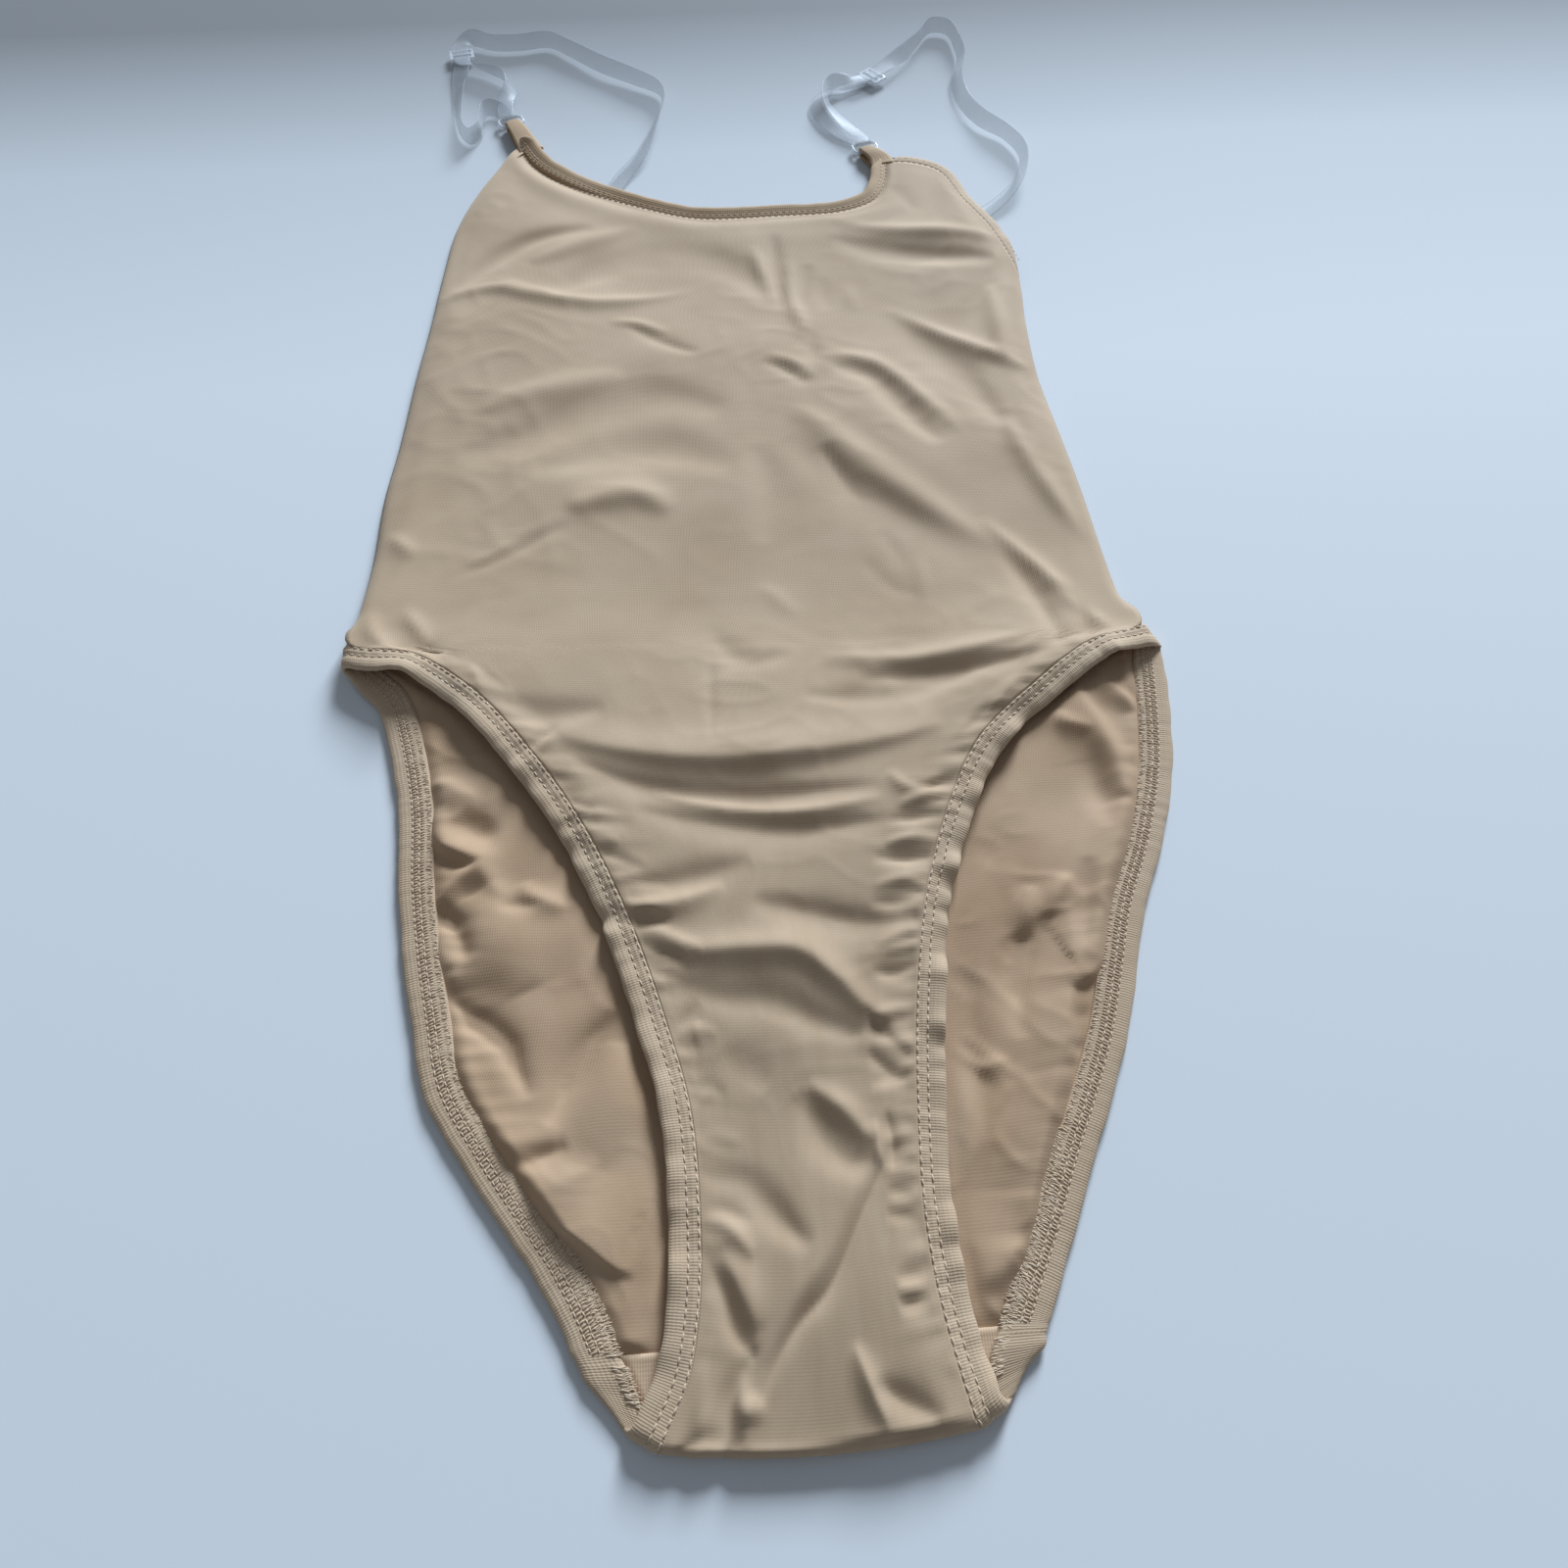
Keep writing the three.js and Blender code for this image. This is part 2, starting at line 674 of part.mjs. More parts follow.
function strapLoop(side, upperRows, lowerRows) {
  const away = heading(HARDWARE[side].ringTurn);
  const bar = ringBar(side, 1);
  const radius = RING_WIRE + SEAM + TAPE / 2;
  const upperStart = bar.clone().setZ(RING_Z + radius);
  const lowerStart = bar.clone().setZ(RING_Z - radius);
  const start = (point) => {
    const next = point.clone().addScaledVector(away, RING_LEAD);
    return [{ ...point, lean: 0 }, { ...next, lean: 0 }];
  };
  const upper = runStations([...start(upperStart), ...upperRows]);
  const lower = runStations([...start(lowerStart), ...lowerRows]).reverse();
  const turn = turnStations(bar, away, radius).slice(1, -1);
  return sweep(tapeSections([...lower, ...turn, ...upper], TAPE_WIDTH, TAPE));
}

function tab(side) {
  const back = heading(HARDWARE[side].ringTurn).negate();
  const bar = ringBar(side, -1);
  const tip = new THREE.Vector3(TIPS[side].x, TIPS[side].y, 0);
  const radius = RING_WIRE + SEAM + LINING / 2;
  const reach = tip.distanceTo(bar.clone().setZ(0));
  const turn = turnStations(bar, back, radius);
  const across = turn[0].across;
  const leg = (z, f) => ({ point: bar.clone().addScaledVector(back, reach * f).setZ(z), across });
  const low = [leg(RING_Z - radius, 1), leg(RING_Z - radius, 0.5)];
  const high = [leg(RING_Z + radius, 0.5), leg(RING_Z + radius, 1)];
  return sweep(tapeSections([...low, ...turn, ...high], TAB_WIDTH, LINING));
}

function ring(side) {
  const place = HARDWARE[side];
  const straight = [RING_SHORT, RING_LONG].map((size) => size / 2 - RING_WIRE - RING_CORNER);
  const sections = [];
  for (const [sx, sy, start] of [[1, 1, 0], [-1, 1, 90], [-1, -1, 180], [1, -1, 270]]) {
    for (const step of [0, 30, 60, 90]) {
      const way = heading(start + step);
      const centre = new THREE.Vector3(sx * straight[0], sy * straight[1], 0);
      centre.addScaledVector(way, RING_CORNER);
      sections.push(Array.from({ length: WIRE_SIDES }, (_, k) => {
        const angle = (2 * Math.PI * k) / WIRE_SIDES;
        const point = centre.clone().addScaledVector(way, RING_WIRE * Math.cos(angle));
        return point.addScaledVector(UP, RING_WIRE * Math.sin(angle));
      }));
    }
  }
  const geometry = sweep(sections, true);
  geometry.rotateZ(radians(place.ringTurn));
  geometry.translate(place.ringX, place.ringY, RING_Z);
  return geometry;
}

function cuboid(x0, x1, y0, y1, z0, z1) {
  const geometry = new THREE.BoxGeometry(x1 - x0, y1 - y0, z1 - z0);
  geometry.translate((x0 + x1) / 2, (y0 + y1) / 2, (z0 + z1) / 2);
  geometry.deleteAttribute('normal');
  geometry.deleteAttribute('uv');
  const merged = mergeVertices(geometry);
  return new wasm.Manifold(new wasm.Mesh({
    numProp: 3,
    vertProperties: new Float32Array(merged.attributes.position.array),
    triVerts: new Uint32Array(merged.index.array),
  }));
}

// A slider is a flat frame with a bar across its middle
function slider(side) {
  const place = HARDWARE[side];
  const halfLong = SLIDER_LONG / 2;
  const halfShort = SLIDER_SHORT / 2;
  const slotLong = halfLong - SLIDER_BAR;
  const slotFar = halfShort - SLIDER_BAR;
  const slotNear = SLIDER_BAR / 2;
  const plate = cuboid(-halfShort, halfShort, -halfLong, halfLong, 0, SLIDER_THICK);
  const slot = (x0, x1) => cuboid(x0, x1, -slotLong, slotLong, -SLIDER_THICK, 2 * SLIDER_THICK);
  const frame = plate.subtract(slot(slotNear, slotFar)).subtract(slot(-slotFar, -slotNear));
  const mesh = frame.getMesh();
  const geometry = new THREE.BufferGeometry();
  geometry.setAttribute('position', new THREE.BufferAttribute(mesh.vertProperties, 3));
  geometry.setIndex([...mesh.triVerts]);
  geometry.rotateZ(radians(place.sliderTurn));
  geometry.translate(place.sliderX, place.sliderY, SLIDER_Z);
  return geometry;
}

const NODES = [
  ['front_panel', wall(FRONT, WALL), CLOTH],
  ['back_panel', wall(BACK, -WALL), INSIDE],
  ['crotch_lining', crotchLining(), INSIDE],
  ['leg_band_front_left', legBandFront(-1), ELASTIC],
  ['leg_band_front_right', legBandFront(1), ELASTIC],
  ['leg_band_back_left', legBandBack(-1), ELASTIC],
  ['leg_band_back_right', legBandBack(1), ELASTIC],
  ['neck_band', neckBand(), ELASTIC],
  ['arm_band_left', armBandLeft(), ELASTIC],
  ['arm_band_right', armBandRight(), ELASTIC],
  ['back_top_band', backTopBand(), ELASTIC],
  ['tab_left', tab('left'), ELASTIC],
  ['tab_right', tab('right'), ELASTIC],
  ['ring_left', ring('left'), CLEAR],
  ['ring_right', ring('right'), CLEAR],
  ['slider_left', slider('left'), CLEAR],
  ['slider_right', slider('right'), CLEAR],
  ['strap_loop_left', strapLoop('left', LEFT_UPPER_LOOP, LEFT_LOWER_LOOP), CLEAR],
  ['strap_loop_right', strapLoop('right', RIGHT_UPPER_LOOP, RIGHT_LOWER_LOOP), CLEAR],
  ['strap_left', sweep(tapeSections(runStations(LEFT_RUN), TAPE_WIDTH, TAPE)), CLEAR],
  ['strap_right', sweep(tapeSections(runStations(RIGHT_RUN), TAPE_WIDTH, TAPE)), CLEAR],
];

const leotard = new THREE.Group();
for (const [name, geometry, look] of NODES) {
  const mesh = new THREE.Mesh(geometry, new THREE.MeshStandardMaterial(look));
  mesh.name = name;
  leotard.add(mesh);
}

// The origin is the middle of the whole outline on the table
const box = new THREE.Box3().setFromObject(leotard);
const middle = box.getCenter(new THREE.Vector3());
leotard.position.set(-middle.x, -middle.y, -box.min.z);

export default leotard;
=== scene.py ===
import math
import random

import bmesh
import bpy
import numpy as np
from mathutils import Matrix, Vector, noise


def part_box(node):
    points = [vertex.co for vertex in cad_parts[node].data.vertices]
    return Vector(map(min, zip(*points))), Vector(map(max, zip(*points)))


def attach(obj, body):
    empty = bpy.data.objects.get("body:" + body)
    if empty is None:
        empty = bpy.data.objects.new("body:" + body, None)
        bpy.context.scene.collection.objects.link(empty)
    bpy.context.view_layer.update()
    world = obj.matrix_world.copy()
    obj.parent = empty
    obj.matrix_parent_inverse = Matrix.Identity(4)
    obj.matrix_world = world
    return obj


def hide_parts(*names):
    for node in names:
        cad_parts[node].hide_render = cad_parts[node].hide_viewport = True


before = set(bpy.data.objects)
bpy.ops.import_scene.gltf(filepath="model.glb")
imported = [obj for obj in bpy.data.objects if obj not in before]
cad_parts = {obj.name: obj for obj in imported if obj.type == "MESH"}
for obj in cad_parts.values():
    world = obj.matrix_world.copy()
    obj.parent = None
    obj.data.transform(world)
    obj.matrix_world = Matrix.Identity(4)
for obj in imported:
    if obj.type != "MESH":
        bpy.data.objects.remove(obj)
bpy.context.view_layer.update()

# Sizes below are the part's own millimetres, from the crotch fold up to the straps. HOME takes
# them to the frame, by the middle of the left ring.
LEFT_RING = (-118.0, 654.0)
OFF_TABLE = 0.5
ring_low, ring_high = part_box("ring_left")
HOME = (np.array(ring_low) + np.array(ring_high)) / 2 - np.array([*LEFT_RING, 0.0]) / 1000
HOME[2] = OFF_TABLE / 1000


def metres(places):
    return np.asarray(places, float) / 1000 + HOME


CLOTH = 0.7  # thickness of each layer
FOLD_RADIUS = 3.0  # the crotch fold's outer face turns this wide
FOLD_MIDDLE = -3.0  # the fold's middle, up the picture
FOLD_BOW = 4.0  # its ends lie this much further up
FOLD_HALF = 46.0  # half its width
FOLD_SPREAD = 0.12  # the cloth gets wider by this share as it turns under
SEAM_Y = 24.0  # the crotch seam in the back layer
EDGE_ROUND = 16.0  # from the front's edges to its middle height

# Rows across the front: both ends, and the height of the outer face at the edges and in the middle
FRONT_ROWS = [
    (-44, 4, 43, 4, 5.9, 5.9),
    (-37, 18, 40, 18, 5.8, 6.0),
    (-33, 38, 37, 38, 5.9, 6.3),
    (-32, 64, 36, 62, 6.1, 6.5),
    (-34, 96, 38, 92, 6.3, 6.7),
    (-42, 128, 42, 125, 7.0, 7.4),
    (-54, 165, 49, 160, 7.8, 7.9),
    (-70, 201, 60, 192, 8.6, 8.3),
    (-89, 232, 78, 226, 9.4, 8.6),
    (-111, 260, 104, 250, 10.0, 8.4),
    (-136, 280, 130, 269, 10.0, 7.8),
    (-164, 288, 152, 277, 8.6, 7.2),
    (-164, 304, 149, 296, 6.2, 6.4),
    (-161, 335, 147, 322, 4.4, 6.2),
    (-160, 372, 145, 358, 3.8, 6.2),
    (-156, 408, 142, 394, 3.8, 6.2),
    (-153, 446, 139, 430, 3.8, 6.0),
    (-149, 486, 140, 468, 3.8, 5.8),
    (-146, 524, 142, 502, 3.8, 5.4),
    (-142, 556, 134, 538, 4.2, 5.2),
    (-132, 587, 123, 563, 4.6, 5.1),
    (-120, 614, 112, 590, 4.8, 5.0),
    (-113, 632, 86, 601, 4.8, 4.8),
]
HIP = 11
UNDERARM = 18
TIP_ROW = 22
# The front's upper edge, from the left tip to the right one
NECKLINE = [
    (-113, 632), (-102, 610), (-79, 589), (-50, 571), (-15, 557),
    (30, 556), (60, 558), (77, 567), (84, 584), (86, 601),
]
# Rows across the back, both ends, from the crotch seam to the hip, and its hidden upper edge
BACK_ROWS = [
    (-59, 24, 57, 24), (-65, 38, 64, 38), (-74, 54, 73, 55), (-86, 71, 82, 74),
    (-99, 90, 93, 95), (-111, 110, 102, 114), (-117, 134, 110, 136), (-122, 158, 118, 159),
    (-126, 184, 130, 184), (-129, 216, 141, 214), (-136, 247, 146, 238), (-143, 266, 149, 258),
    (-164, 289, 152, 278),
]
BACK_HIP = 12
BACK_TOP_ROW = 18
BACK_TOP = [
    (-146, 524), (-112, 540), (-78, 546), (-38, 520), (16, 505),
    (68, 517), (107, 535), (124, 520), (142, 502),
]

# Folds: the line, its rise (a fall is negative), its softness on the left and right of the line,
# and how crisp its crest is (2 is round)
FRONT_FOLDS = [
    ([(-139, 507), (-123, 525), (-102, 542), (-71, 552)], -2.4, 5, 6, 2),
    ([(-101, 523), (-77, 537), (-49, 552)], 1.8, 6, 6, 2),
    ([(-90, 495), (-75, 512), (-53, 523), (-25, 524), (-1, 513), (17, 490)], -4.0, 9, 8, 2),
    ([(-147, 500), (-118, 505), (-100, 498), (-72, 491), (-44, 494), (-21, 499)], 2.2, 5, 5, 1.7),
    ([(-53, 474), (-38, 462), (-20, 451)], -1.6, 3, 3, 1.4),
    ([(-62, 477), (-48, 475), (-34, 467)], 1.2, 3, 3, 1.6),
    ([(21, 540), (21, 508), (22, 482)], -2.8, 3.2, 3.6, 1.5),
    ([(10, 531), (14, 506), (19, 487)], 1.6, 3.4, 3.4, 1.6),
    ([(37, 515), (33, 495), (30, 481)], -2.4, 3.2, 3.2, 1.5),
    ([(42, 506), (44, 480)], -1.6, 3.2, 3.4, 1.6),
    ([(32, 467), (35, 441)], -1.6, 3.4, 4, 1.7),
    ([(27, 520), (27, 490), (31, 466), (32, 451)], 1.6, 3.4, 3.4, 1.6),
    ([(54, 500), (58, 478)], 1.2, 3.4, 3.4, 1.6),
    ([(10, 444), (20, 438), (31, 426)], -1.5, 2.8, 2.8, 1.4),
    ([(12, 450), (24, 442), (34, 431)], 1.0, 3, 3, 1.5),
    ([(42, 438), (60, 430), (72, 408), (86, 384)], -3.0, 7, 6, 1.8),
    ([(37, 447), (60, 441), (80, 416), (96, 390)], 1.8, 5, 5, 1.8),
    ([(20, 412), (30, 403), (54, 371), (77, 346), (104, 322)], 2.4, 8, 8, 2),
    ([(18, 394), (42, 360), (66, 338), (92, 314)], -1.5, 9, 9, 2),
    ([(74, 476), (87, 450), (102, 432), (111, 408), (118, 393)], -3.8, 6, 8, 1.8),
    ([(70, 481), (101, 454), (136, 430)], 2.6, 5, 5, 1.7),
    ([(51, 535), (80, 520), (132, 513)], -3.0, 6, 6, 1.9),
    ([(50, 550), (82, 538), (138, 529)], 2.4, 5, 5, 1.8),
    ([(87, 578), (96, 553)], -1.8, 3.6, 3.6, 1.6),
    ([(116, 402), (123, 372), (132, 346), (140, 325)], 2.2, 5, 5, 1.7),
    ([(125, 492), (124, 437)], 1.8, 5, 5, 2),
    ([(33, 387), (44, 360), (50, 351)], -1.8, 3, 3.4, 1.4),
    ([(-128, 392), (-96, 402), (-64, 417), (-39, 423), (-8, 413)], -3.4, 10, 12, 2),
    ([(-120, 420), (-90, 430), (-55, 440)], 1.8, 8, 8, 2),
    ([(-95, 380), (-50, 391), (-5, 378)], -2.8, 12, 10, 2),
    ([(-80, 356), (-50, 362), (-34, 352)], 2.8, 8, 7, 1.9),
    ([(3, 390), (9, 362), (4, 332)], -1.8, 8, 8, 2),
    ([(-121, 327), (-109, 332), (-99, 342)], 1.0, 3, 4, 1.4),
    ([(-80, 347), (-104, 332), (-124, 322)], -1.3, 2.8, 2.8, 1.4),
    ([(-154, 348), (-142, 333)], 1.3, 3, 4, 1.4),
    ([(44, 322), (55, 305), (66, 299)], -1.5, 2.8, 2.8, 1.5),
    ([(54, 337), (62, 314)], -1.3, 2.8, 2.8, 1.5),
    ([(68, 320), (67, 297)], 1.3, 2.8, 2.8, 1.5),
    ([(97, 340), (116, 311), (129, 289), (141, 272)], 2.6, 4, 4, 1.6),
    ([(103, 320), (114, 292), (119, 262)], -2.6, 4, 4, 1.7),
    ([(122, 302), (131, 284), (127, 264)], -1.8, 3, 3, 1.6),
    ([(22, 271), (60, 266), (104, 273)], 2.4, 5, 5, 1.8),
    ([(36, 258), (79, 259), (112, 264)], -2.6, 4, 5, 1.8),
    ([(14, 251), (48, 250), (78, 255)], -1.8, 5, 5, 2),
    ([(-108, 236), (-91, 234), (-80, 244)], -1.9, 2.6, 2.6, 1.4),
    ([(-98, 222), (-80, 239)], 1.9, 2.6, 3, 1.4),
    ([(-113, 273), (-109, 256)], 1.2, 2.4, 2.4, 1.5),
    ([(-134, 289), (-124, 271)], -1.4, 2.6, 2.6, 1.5),
    ([(-144, 306), (-131, 284)], 1.6, 3, 3, 1.6),
    ([(-158, 306), (-155, 294), (-148, 285), (-140, 279)], 2.0, 3.5, 4, 1.5),
    ([(-108, 256), (-86, 249), (-62, 250)], -2.0, 6, 6, 2),
    ([(-22, 290), (-9, 271), (11, 272)], -1.5, 5, 5, 1.9),
    ([(0, 311), (16, 292)], 1.0, 3, 4, 1.6),
    ([(-21, 278), (-22, 232)], -0.7, 2.2, 2.2, 1.6),
    ([(-82, 240), (-58, 231), (-30, 225), (1, 224), (40, 228), (66, 234)], 3.6, 12, 5, 1.8),
    ([(-74, 228), (-58, 219), (-37, 212), (-8, 208), (21, 208), (40, 208)], -2.6, 4, 7, 1.8),
    ([(-51, 205), (-26, 198), (8, 193), (43, 194)], -2.4, 4, 7, 1.8),
    ([(-46, 212), (-24, 205), (8, 200), (40, 203)], 1.8, 3, 3.4, 1.6),
    ([(42, 214), (48, 207), (62, 210)], 1.8, 3, 3, 1.4),
    ([(-65, 172), (-49, 173), (-27, 177), (-10, 182)], -2.6, 5, 7, 1.8),
    ([(-62, 168), (-38, 167), (-20, 173)], 2.8, 4, 5, 1.7),
    ([(-11, 166), (6, 161), (27, 155), (43, 154)], -2.6, 5, 7, 1.8),
    ([(-56, 156), (-33, 149), (-13, 148), (4, 146), (14, 138), (24, 126), (39, 109)], 3.4, 6, 5, 1.7),
    ([(-38, 138), (-22, 132), (-7, 130), (8, 122), (23, 115)], -2.8, 5, 6, 1.8),
    ([(-50, 141), (-41, 137)], 1.4, 2.6, 3, 1.5),
    ([(-30, 131), (-38, 122)], -1.6, 3, 3, 1.5),
    ([(-31, 125), (-33, 108)], 1.4, 3, 3, 1.5),
    ([(24, 124), (33, 113), (40, 106)], -2.0, 3, 3, 1.5),
    ([(24, 110), (32, 102), (38, 99)], -1.8, 2.6, 3, 1.5),
    ([(-32, 119), (-32, 105)], -1.6, 2.4, 2.4, 1.5),
    ([(-34, 94), (-26, 103)], 1.2, 2.4, 2.4, 1.5),
    ([(-24, 114), (-17, 108), (-9, 101)], -1.8, 6, 6, 2),
    ([(0, 98), (9, 83), (15, 76), (23, 75)], -3.0, 6, 6, 1.9),
    ([(4, 101), (15, 91), (23, 81)], 2.0, 4, 4, 1.8),
    ([(28, 90), (29, 80), (28, 72)], -1.8, 2.6, 2.6, 1.5),
    ([(24, 88), (24, 80), (25, 73)], 1.4, 2.2, 2.2, 1.5),
    ([(27, 77), (20, 65), (15, 56), (9, 45), (4, 38), (-4, 31), (-11, 22), (-17, 11)],
     -2.6, 2.2, 3.6, 1.2),
    ([(24, 79), (16, 67), (6, 49), (-4, 38), (-15, 21)], 1.0, 4, 4, 1.7),
    ([(-34, 74), (-19, 72), (-12, 65), (-6, 58), (1, 51)], -3.0, 4.5, 5, 1.8),
    ([(-32, 64), (-25, 64), (-16, 60)], -1.6, 2.4, 2.4, 1.5),
    ([(-33, 61), (-25, 60), (-16, 50)], 2.0, 3, 4, 1.6),
    ([(-33, 54), (-28, 45), (-25, 38), (-23, 31), (-17, 22)], -3.2, 3, 3, 1.5),
    ([(-26, 52), (-20, 40), (-16, 30)], 2.0, 5, 4, 1.8),
    ([(-17, 25), (-22, 18), (-25, 13), (-26, 7), (-26, 0), (-26, -6)], -2.2, 2.6, 3, 1.7),
    ([(-21, 6), (-18, 13)], 1.8, 3, 3, 1.8),
    ([(-22, 20), (-22, 8), (-21, 0)], 1.6, 3, 3, 1.8),
    ([(11, 24), (15, 12), (19, 2)], 2.4, 3, 3, 1.5),
    ([(16, 14), (24, 9), (35, 3)], -2.4, 4, 4, 1.6),
    ([(34, 58), (24, 59)], -1.2, 2, 2, 1.6),
    ([(34, 65), (25, 66)], -1.1, 2, 2, 1.6),
    ([(35, 35), (25, 33)], -1.7, 2.2, 2.2, 1.5),
    ([(35, 42), (25, 41)], -1.3, 2, 2, 1.6),
    ([(34, 38), (25, 37)], 1.0, 1.8, 1.8, 1.6),
    ([(-41, 1), (-31, 3), (-26, 1)], -1.6, 2.4, 2.4, 1.5),
    ([(-33, 24), (-34, 8), (-34, -6)], 1.2, 3, 3, 2),
    ([(-84, 208), (-76, 206), (-66, 210)], 1.3, 2.2, 2.6, 1.6),
    ([(-81, 203), (-74, 201), (-65, 206)], -1.3, 2, 2.2, 1.6),
    ([(-75, 193), (-66, 194), (-56, 192)], 1.3, 2.2, 2.6, 1.6),
    ([(-71, 184), (-60, 185), (-48, 182)], -1.4, 2.2, 2.6, 1.6),
    ([(-65, 176), (-54, 174), (-40, 173)], 1.3, 2.2, 2.6, 1.6),
    ([(-60, 163), (-50, 163), (-38, 160)], -1.3, 2.2, 2.6, 1.6),
    ([(-58, 156), (-47, 157), (-28, 149)], 1.4, 2.2, 3, 1.6),
    ([(-51, 147), (-42, 149), (-34, 146)], -1.3, 2, 2.4, 1.6),
    ([(-48, 141), (-42, 143), (-34, 142)], 1.1, 2, 2.4, 1.6),
    ([(-40, 120), (-32, 122), (-24, 120)], 1.1, 2, 2.6, 1.6),
    ([(-36, 104), (-29, 103), (-22, 99)], -1.1, 2, 2.6, 1.6),
    ([(-34, 86), (-27, 87), (-18, 84)], 1.1, 2, 2.6, 1.6),
    ([(66, 210), (58, 207), (48, 208)], -1.6, 2.2, 2.4, 1.6),
    ([(63, 203), (55, 202), (44, 199)], 1.6, 2, 2.6, 1.6),
    ([(60, 195), (52, 194), (40, 193)], -1.4, 2, 2.6, 1.6),
    ([(57, 187), (48, 186), (38, 184)], 1.4, 2, 2.6, 1.6),
    ([(54, 179), (45, 178), (33, 179)], -1.4, 2, 2.6, 1.6),
    ([(52, 171), (44, 170), (32, 168)], 1.3, 2, 2.6, 1.6),
    ([(50, 163), (42, 161), (30, 162)], -1.4, 2, 2.6, 1.6),
    ([(47, 150), (39, 149), (30, 146)], 1.3, 2, 2.6, 1.6),
    ([(44, 138), (36, 136), (28, 137)], -1.3, 2, 2.6, 1.6),
    ([(41, 124), (34, 123), (26, 120)], 1.1, 2, 2.6, 1.6),
    ([(38, 104), (31, 102), (24, 99)], -1.1, 2, 2.6, 1.6),
    ([(37, 84), (31, 82), (25, 80)], 1.1, 2, 2.6, 1.6),
    ([(84, 238), (90, 243), (96, 252)], 1.3, 2.4, 3, 1.6),
    ([(72, 228), (79, 234), (85, 243)], -1.3, 2.4, 3, 1.6),
    ([(100, 258), (104, 264), (108, 274)], 1.3, 2.4, 3, 1.6),
]
BACK_FOLDS = [
    ([(-131, 222), (-124, 223), (-116, 219), (-109, 216)], 3.1, 4.8, 6.0, 1.6),
    ([(-123, 214), (-125, 206), (-122, 199), (-115, 194), (-107, 190), (-108, 187), (-114, 183),
      (-118, 178), (-123, 175)], 6.0, 5.4, 3.6, 1.6),
    ([(-127, 196), (-119, 192), (-111, 190)], -3.1, 3.6, 3.6, 1.8),
    ([(-123, 174), (-118, 169), (-112, 161), (-109, 151)], -4.3, 4.8, 4.8, 1.8),
    ([(-122, 166), (-121, 155), (-119, 146)], 2.9, 3.6, 3.6, 1.8),
    ([(-91, 181), (-88, 175), (-82, 172), (-75, 169)], 3.7, 3.6, 4.8, 1.5),
    ([(-99, 172), (-84, 171)], -2.3, 3.6, 3.6, 1.8),
    ([(-116, 210), (-109, 203), (-101, 203)], -3.5, 7.2, 7.2, 2),
    ([(-107, 189), (-103, 182), (-98, 175)], 2.6, 3.6, 3.6, 1.6),
    ([(-108, 178), (-98, 160), (-88, 140)], 6.0, 13.2, 13.2, 2),
    ([(-117, 143), (-106, 131), (-95, 122), (-91, 114), (-86, 103)], -4.6, 4.8, 3.6, 1.5),
    ([(-117, 128), (-110, 112), (-102, 100)], 3.5, 6.0, 6.0, 1.8),
    ([(-58, 131), (-66, 122), (-72, 111), (-76, 102), (-80, 94)], -4.6, 7.2, 4.8, 1.3),
    ([(-56, 120), (-60, 100), (-66, 80)], 4.3, 9.6, 9.6, 2),
    ([(-113, 105), (-104, 94), (-96, 89), (-84, 89), (-76, 90)], 4.1, 7.2, 6.0, 1.7),
    ([(-90, 81), (-83, 84), (-73, 87)], -3.1, 4.2, 4.2, 1.7),
    ([(-85, 72), (-73, 76), (-63, 81)], 2.9, 4.8, 4.8, 1.7),
    ([(-100, 81), (-87, 71), (-77, 64), (-68, 58), (-58, 50), (-52, 48)], 7.2, 15.6, 1.9, 1.5),
    ([(143, 263), (144, 255), (144, 246)], 2.9, 3.6, 3.6, 1.6),
    ([(129, 256), (135, 249), (142, 239)], 4.1, 3.6, 6.0, 1.6),
    ([(111, 241), (113, 235), (123, 230)], 3.5, 3.6, 3.6, 1.5),
    ([(119, 254), (122, 246), (123, 239), (126, 229), (129, 219), (129, 209), (130, 200)],
     6.6, 4.8, 9.6, 1.6),
    ([(120, 229), (122, 217), (122, 204), (121, 188)], -2.6, 6.0, 6.0, 2),
    ([(141, 212), (136, 192), (130, 175), (119, 153), (112, 142), (106, 135), (100, 130), (95, 130)],
     7.5, 1.7, 16.8, 1.5),
    ([(101, 158), (97, 135), (91, 117), (83, 95), (75, 75), (69, 55), (66, 36)], 5.5, 3.6, 8.4, 1.5),
    ([(106, 133), (107, 123), (101, 111)], -3.5, 3.6, 3.6, 1.8),
    ([(97, 129), (93, 97), (84, 67)], -3.1, 4.8, 2.4, 1.8),
    ([(103, 170), (97, 163), (92, 155)], 3.7, 3.6, 3.6, 1.5),
    ([(88, 167), (85, 154), (82, 147)], 3.5, 3.6, 3.6, 1.5),
    ([(91, 157), (83, 146), (78, 130), (76, 112)], -3.7, 4.8, 6.0, 1.7),
    ([(111, 176), (107, 160), (103, 142)], -3.1, 4.8, 4.8, 1.8),
    ([(60, 103), (70, 105)], 1.7, 3.0, 3.6, 1.6),
    ([(62, 140), (58, 110), (60, 80)], -2.3, 6.0, 6.0, 2),
    ([(45, 36), (56, 42), (72, 48)], 2.6, 4.8, 4.8, 1.7),
]


def smooth(t):
    c = np.clip(t, 0, 1)
    return c * c * (3 - 2 * c)


def mix(a, b, t):
    return a + (b - a) * t


def hump(t, middle, width):
    """One where t is at the middle, and less on both sides of it."""
    return np.exp(-((t - middle) / width) ** 2)


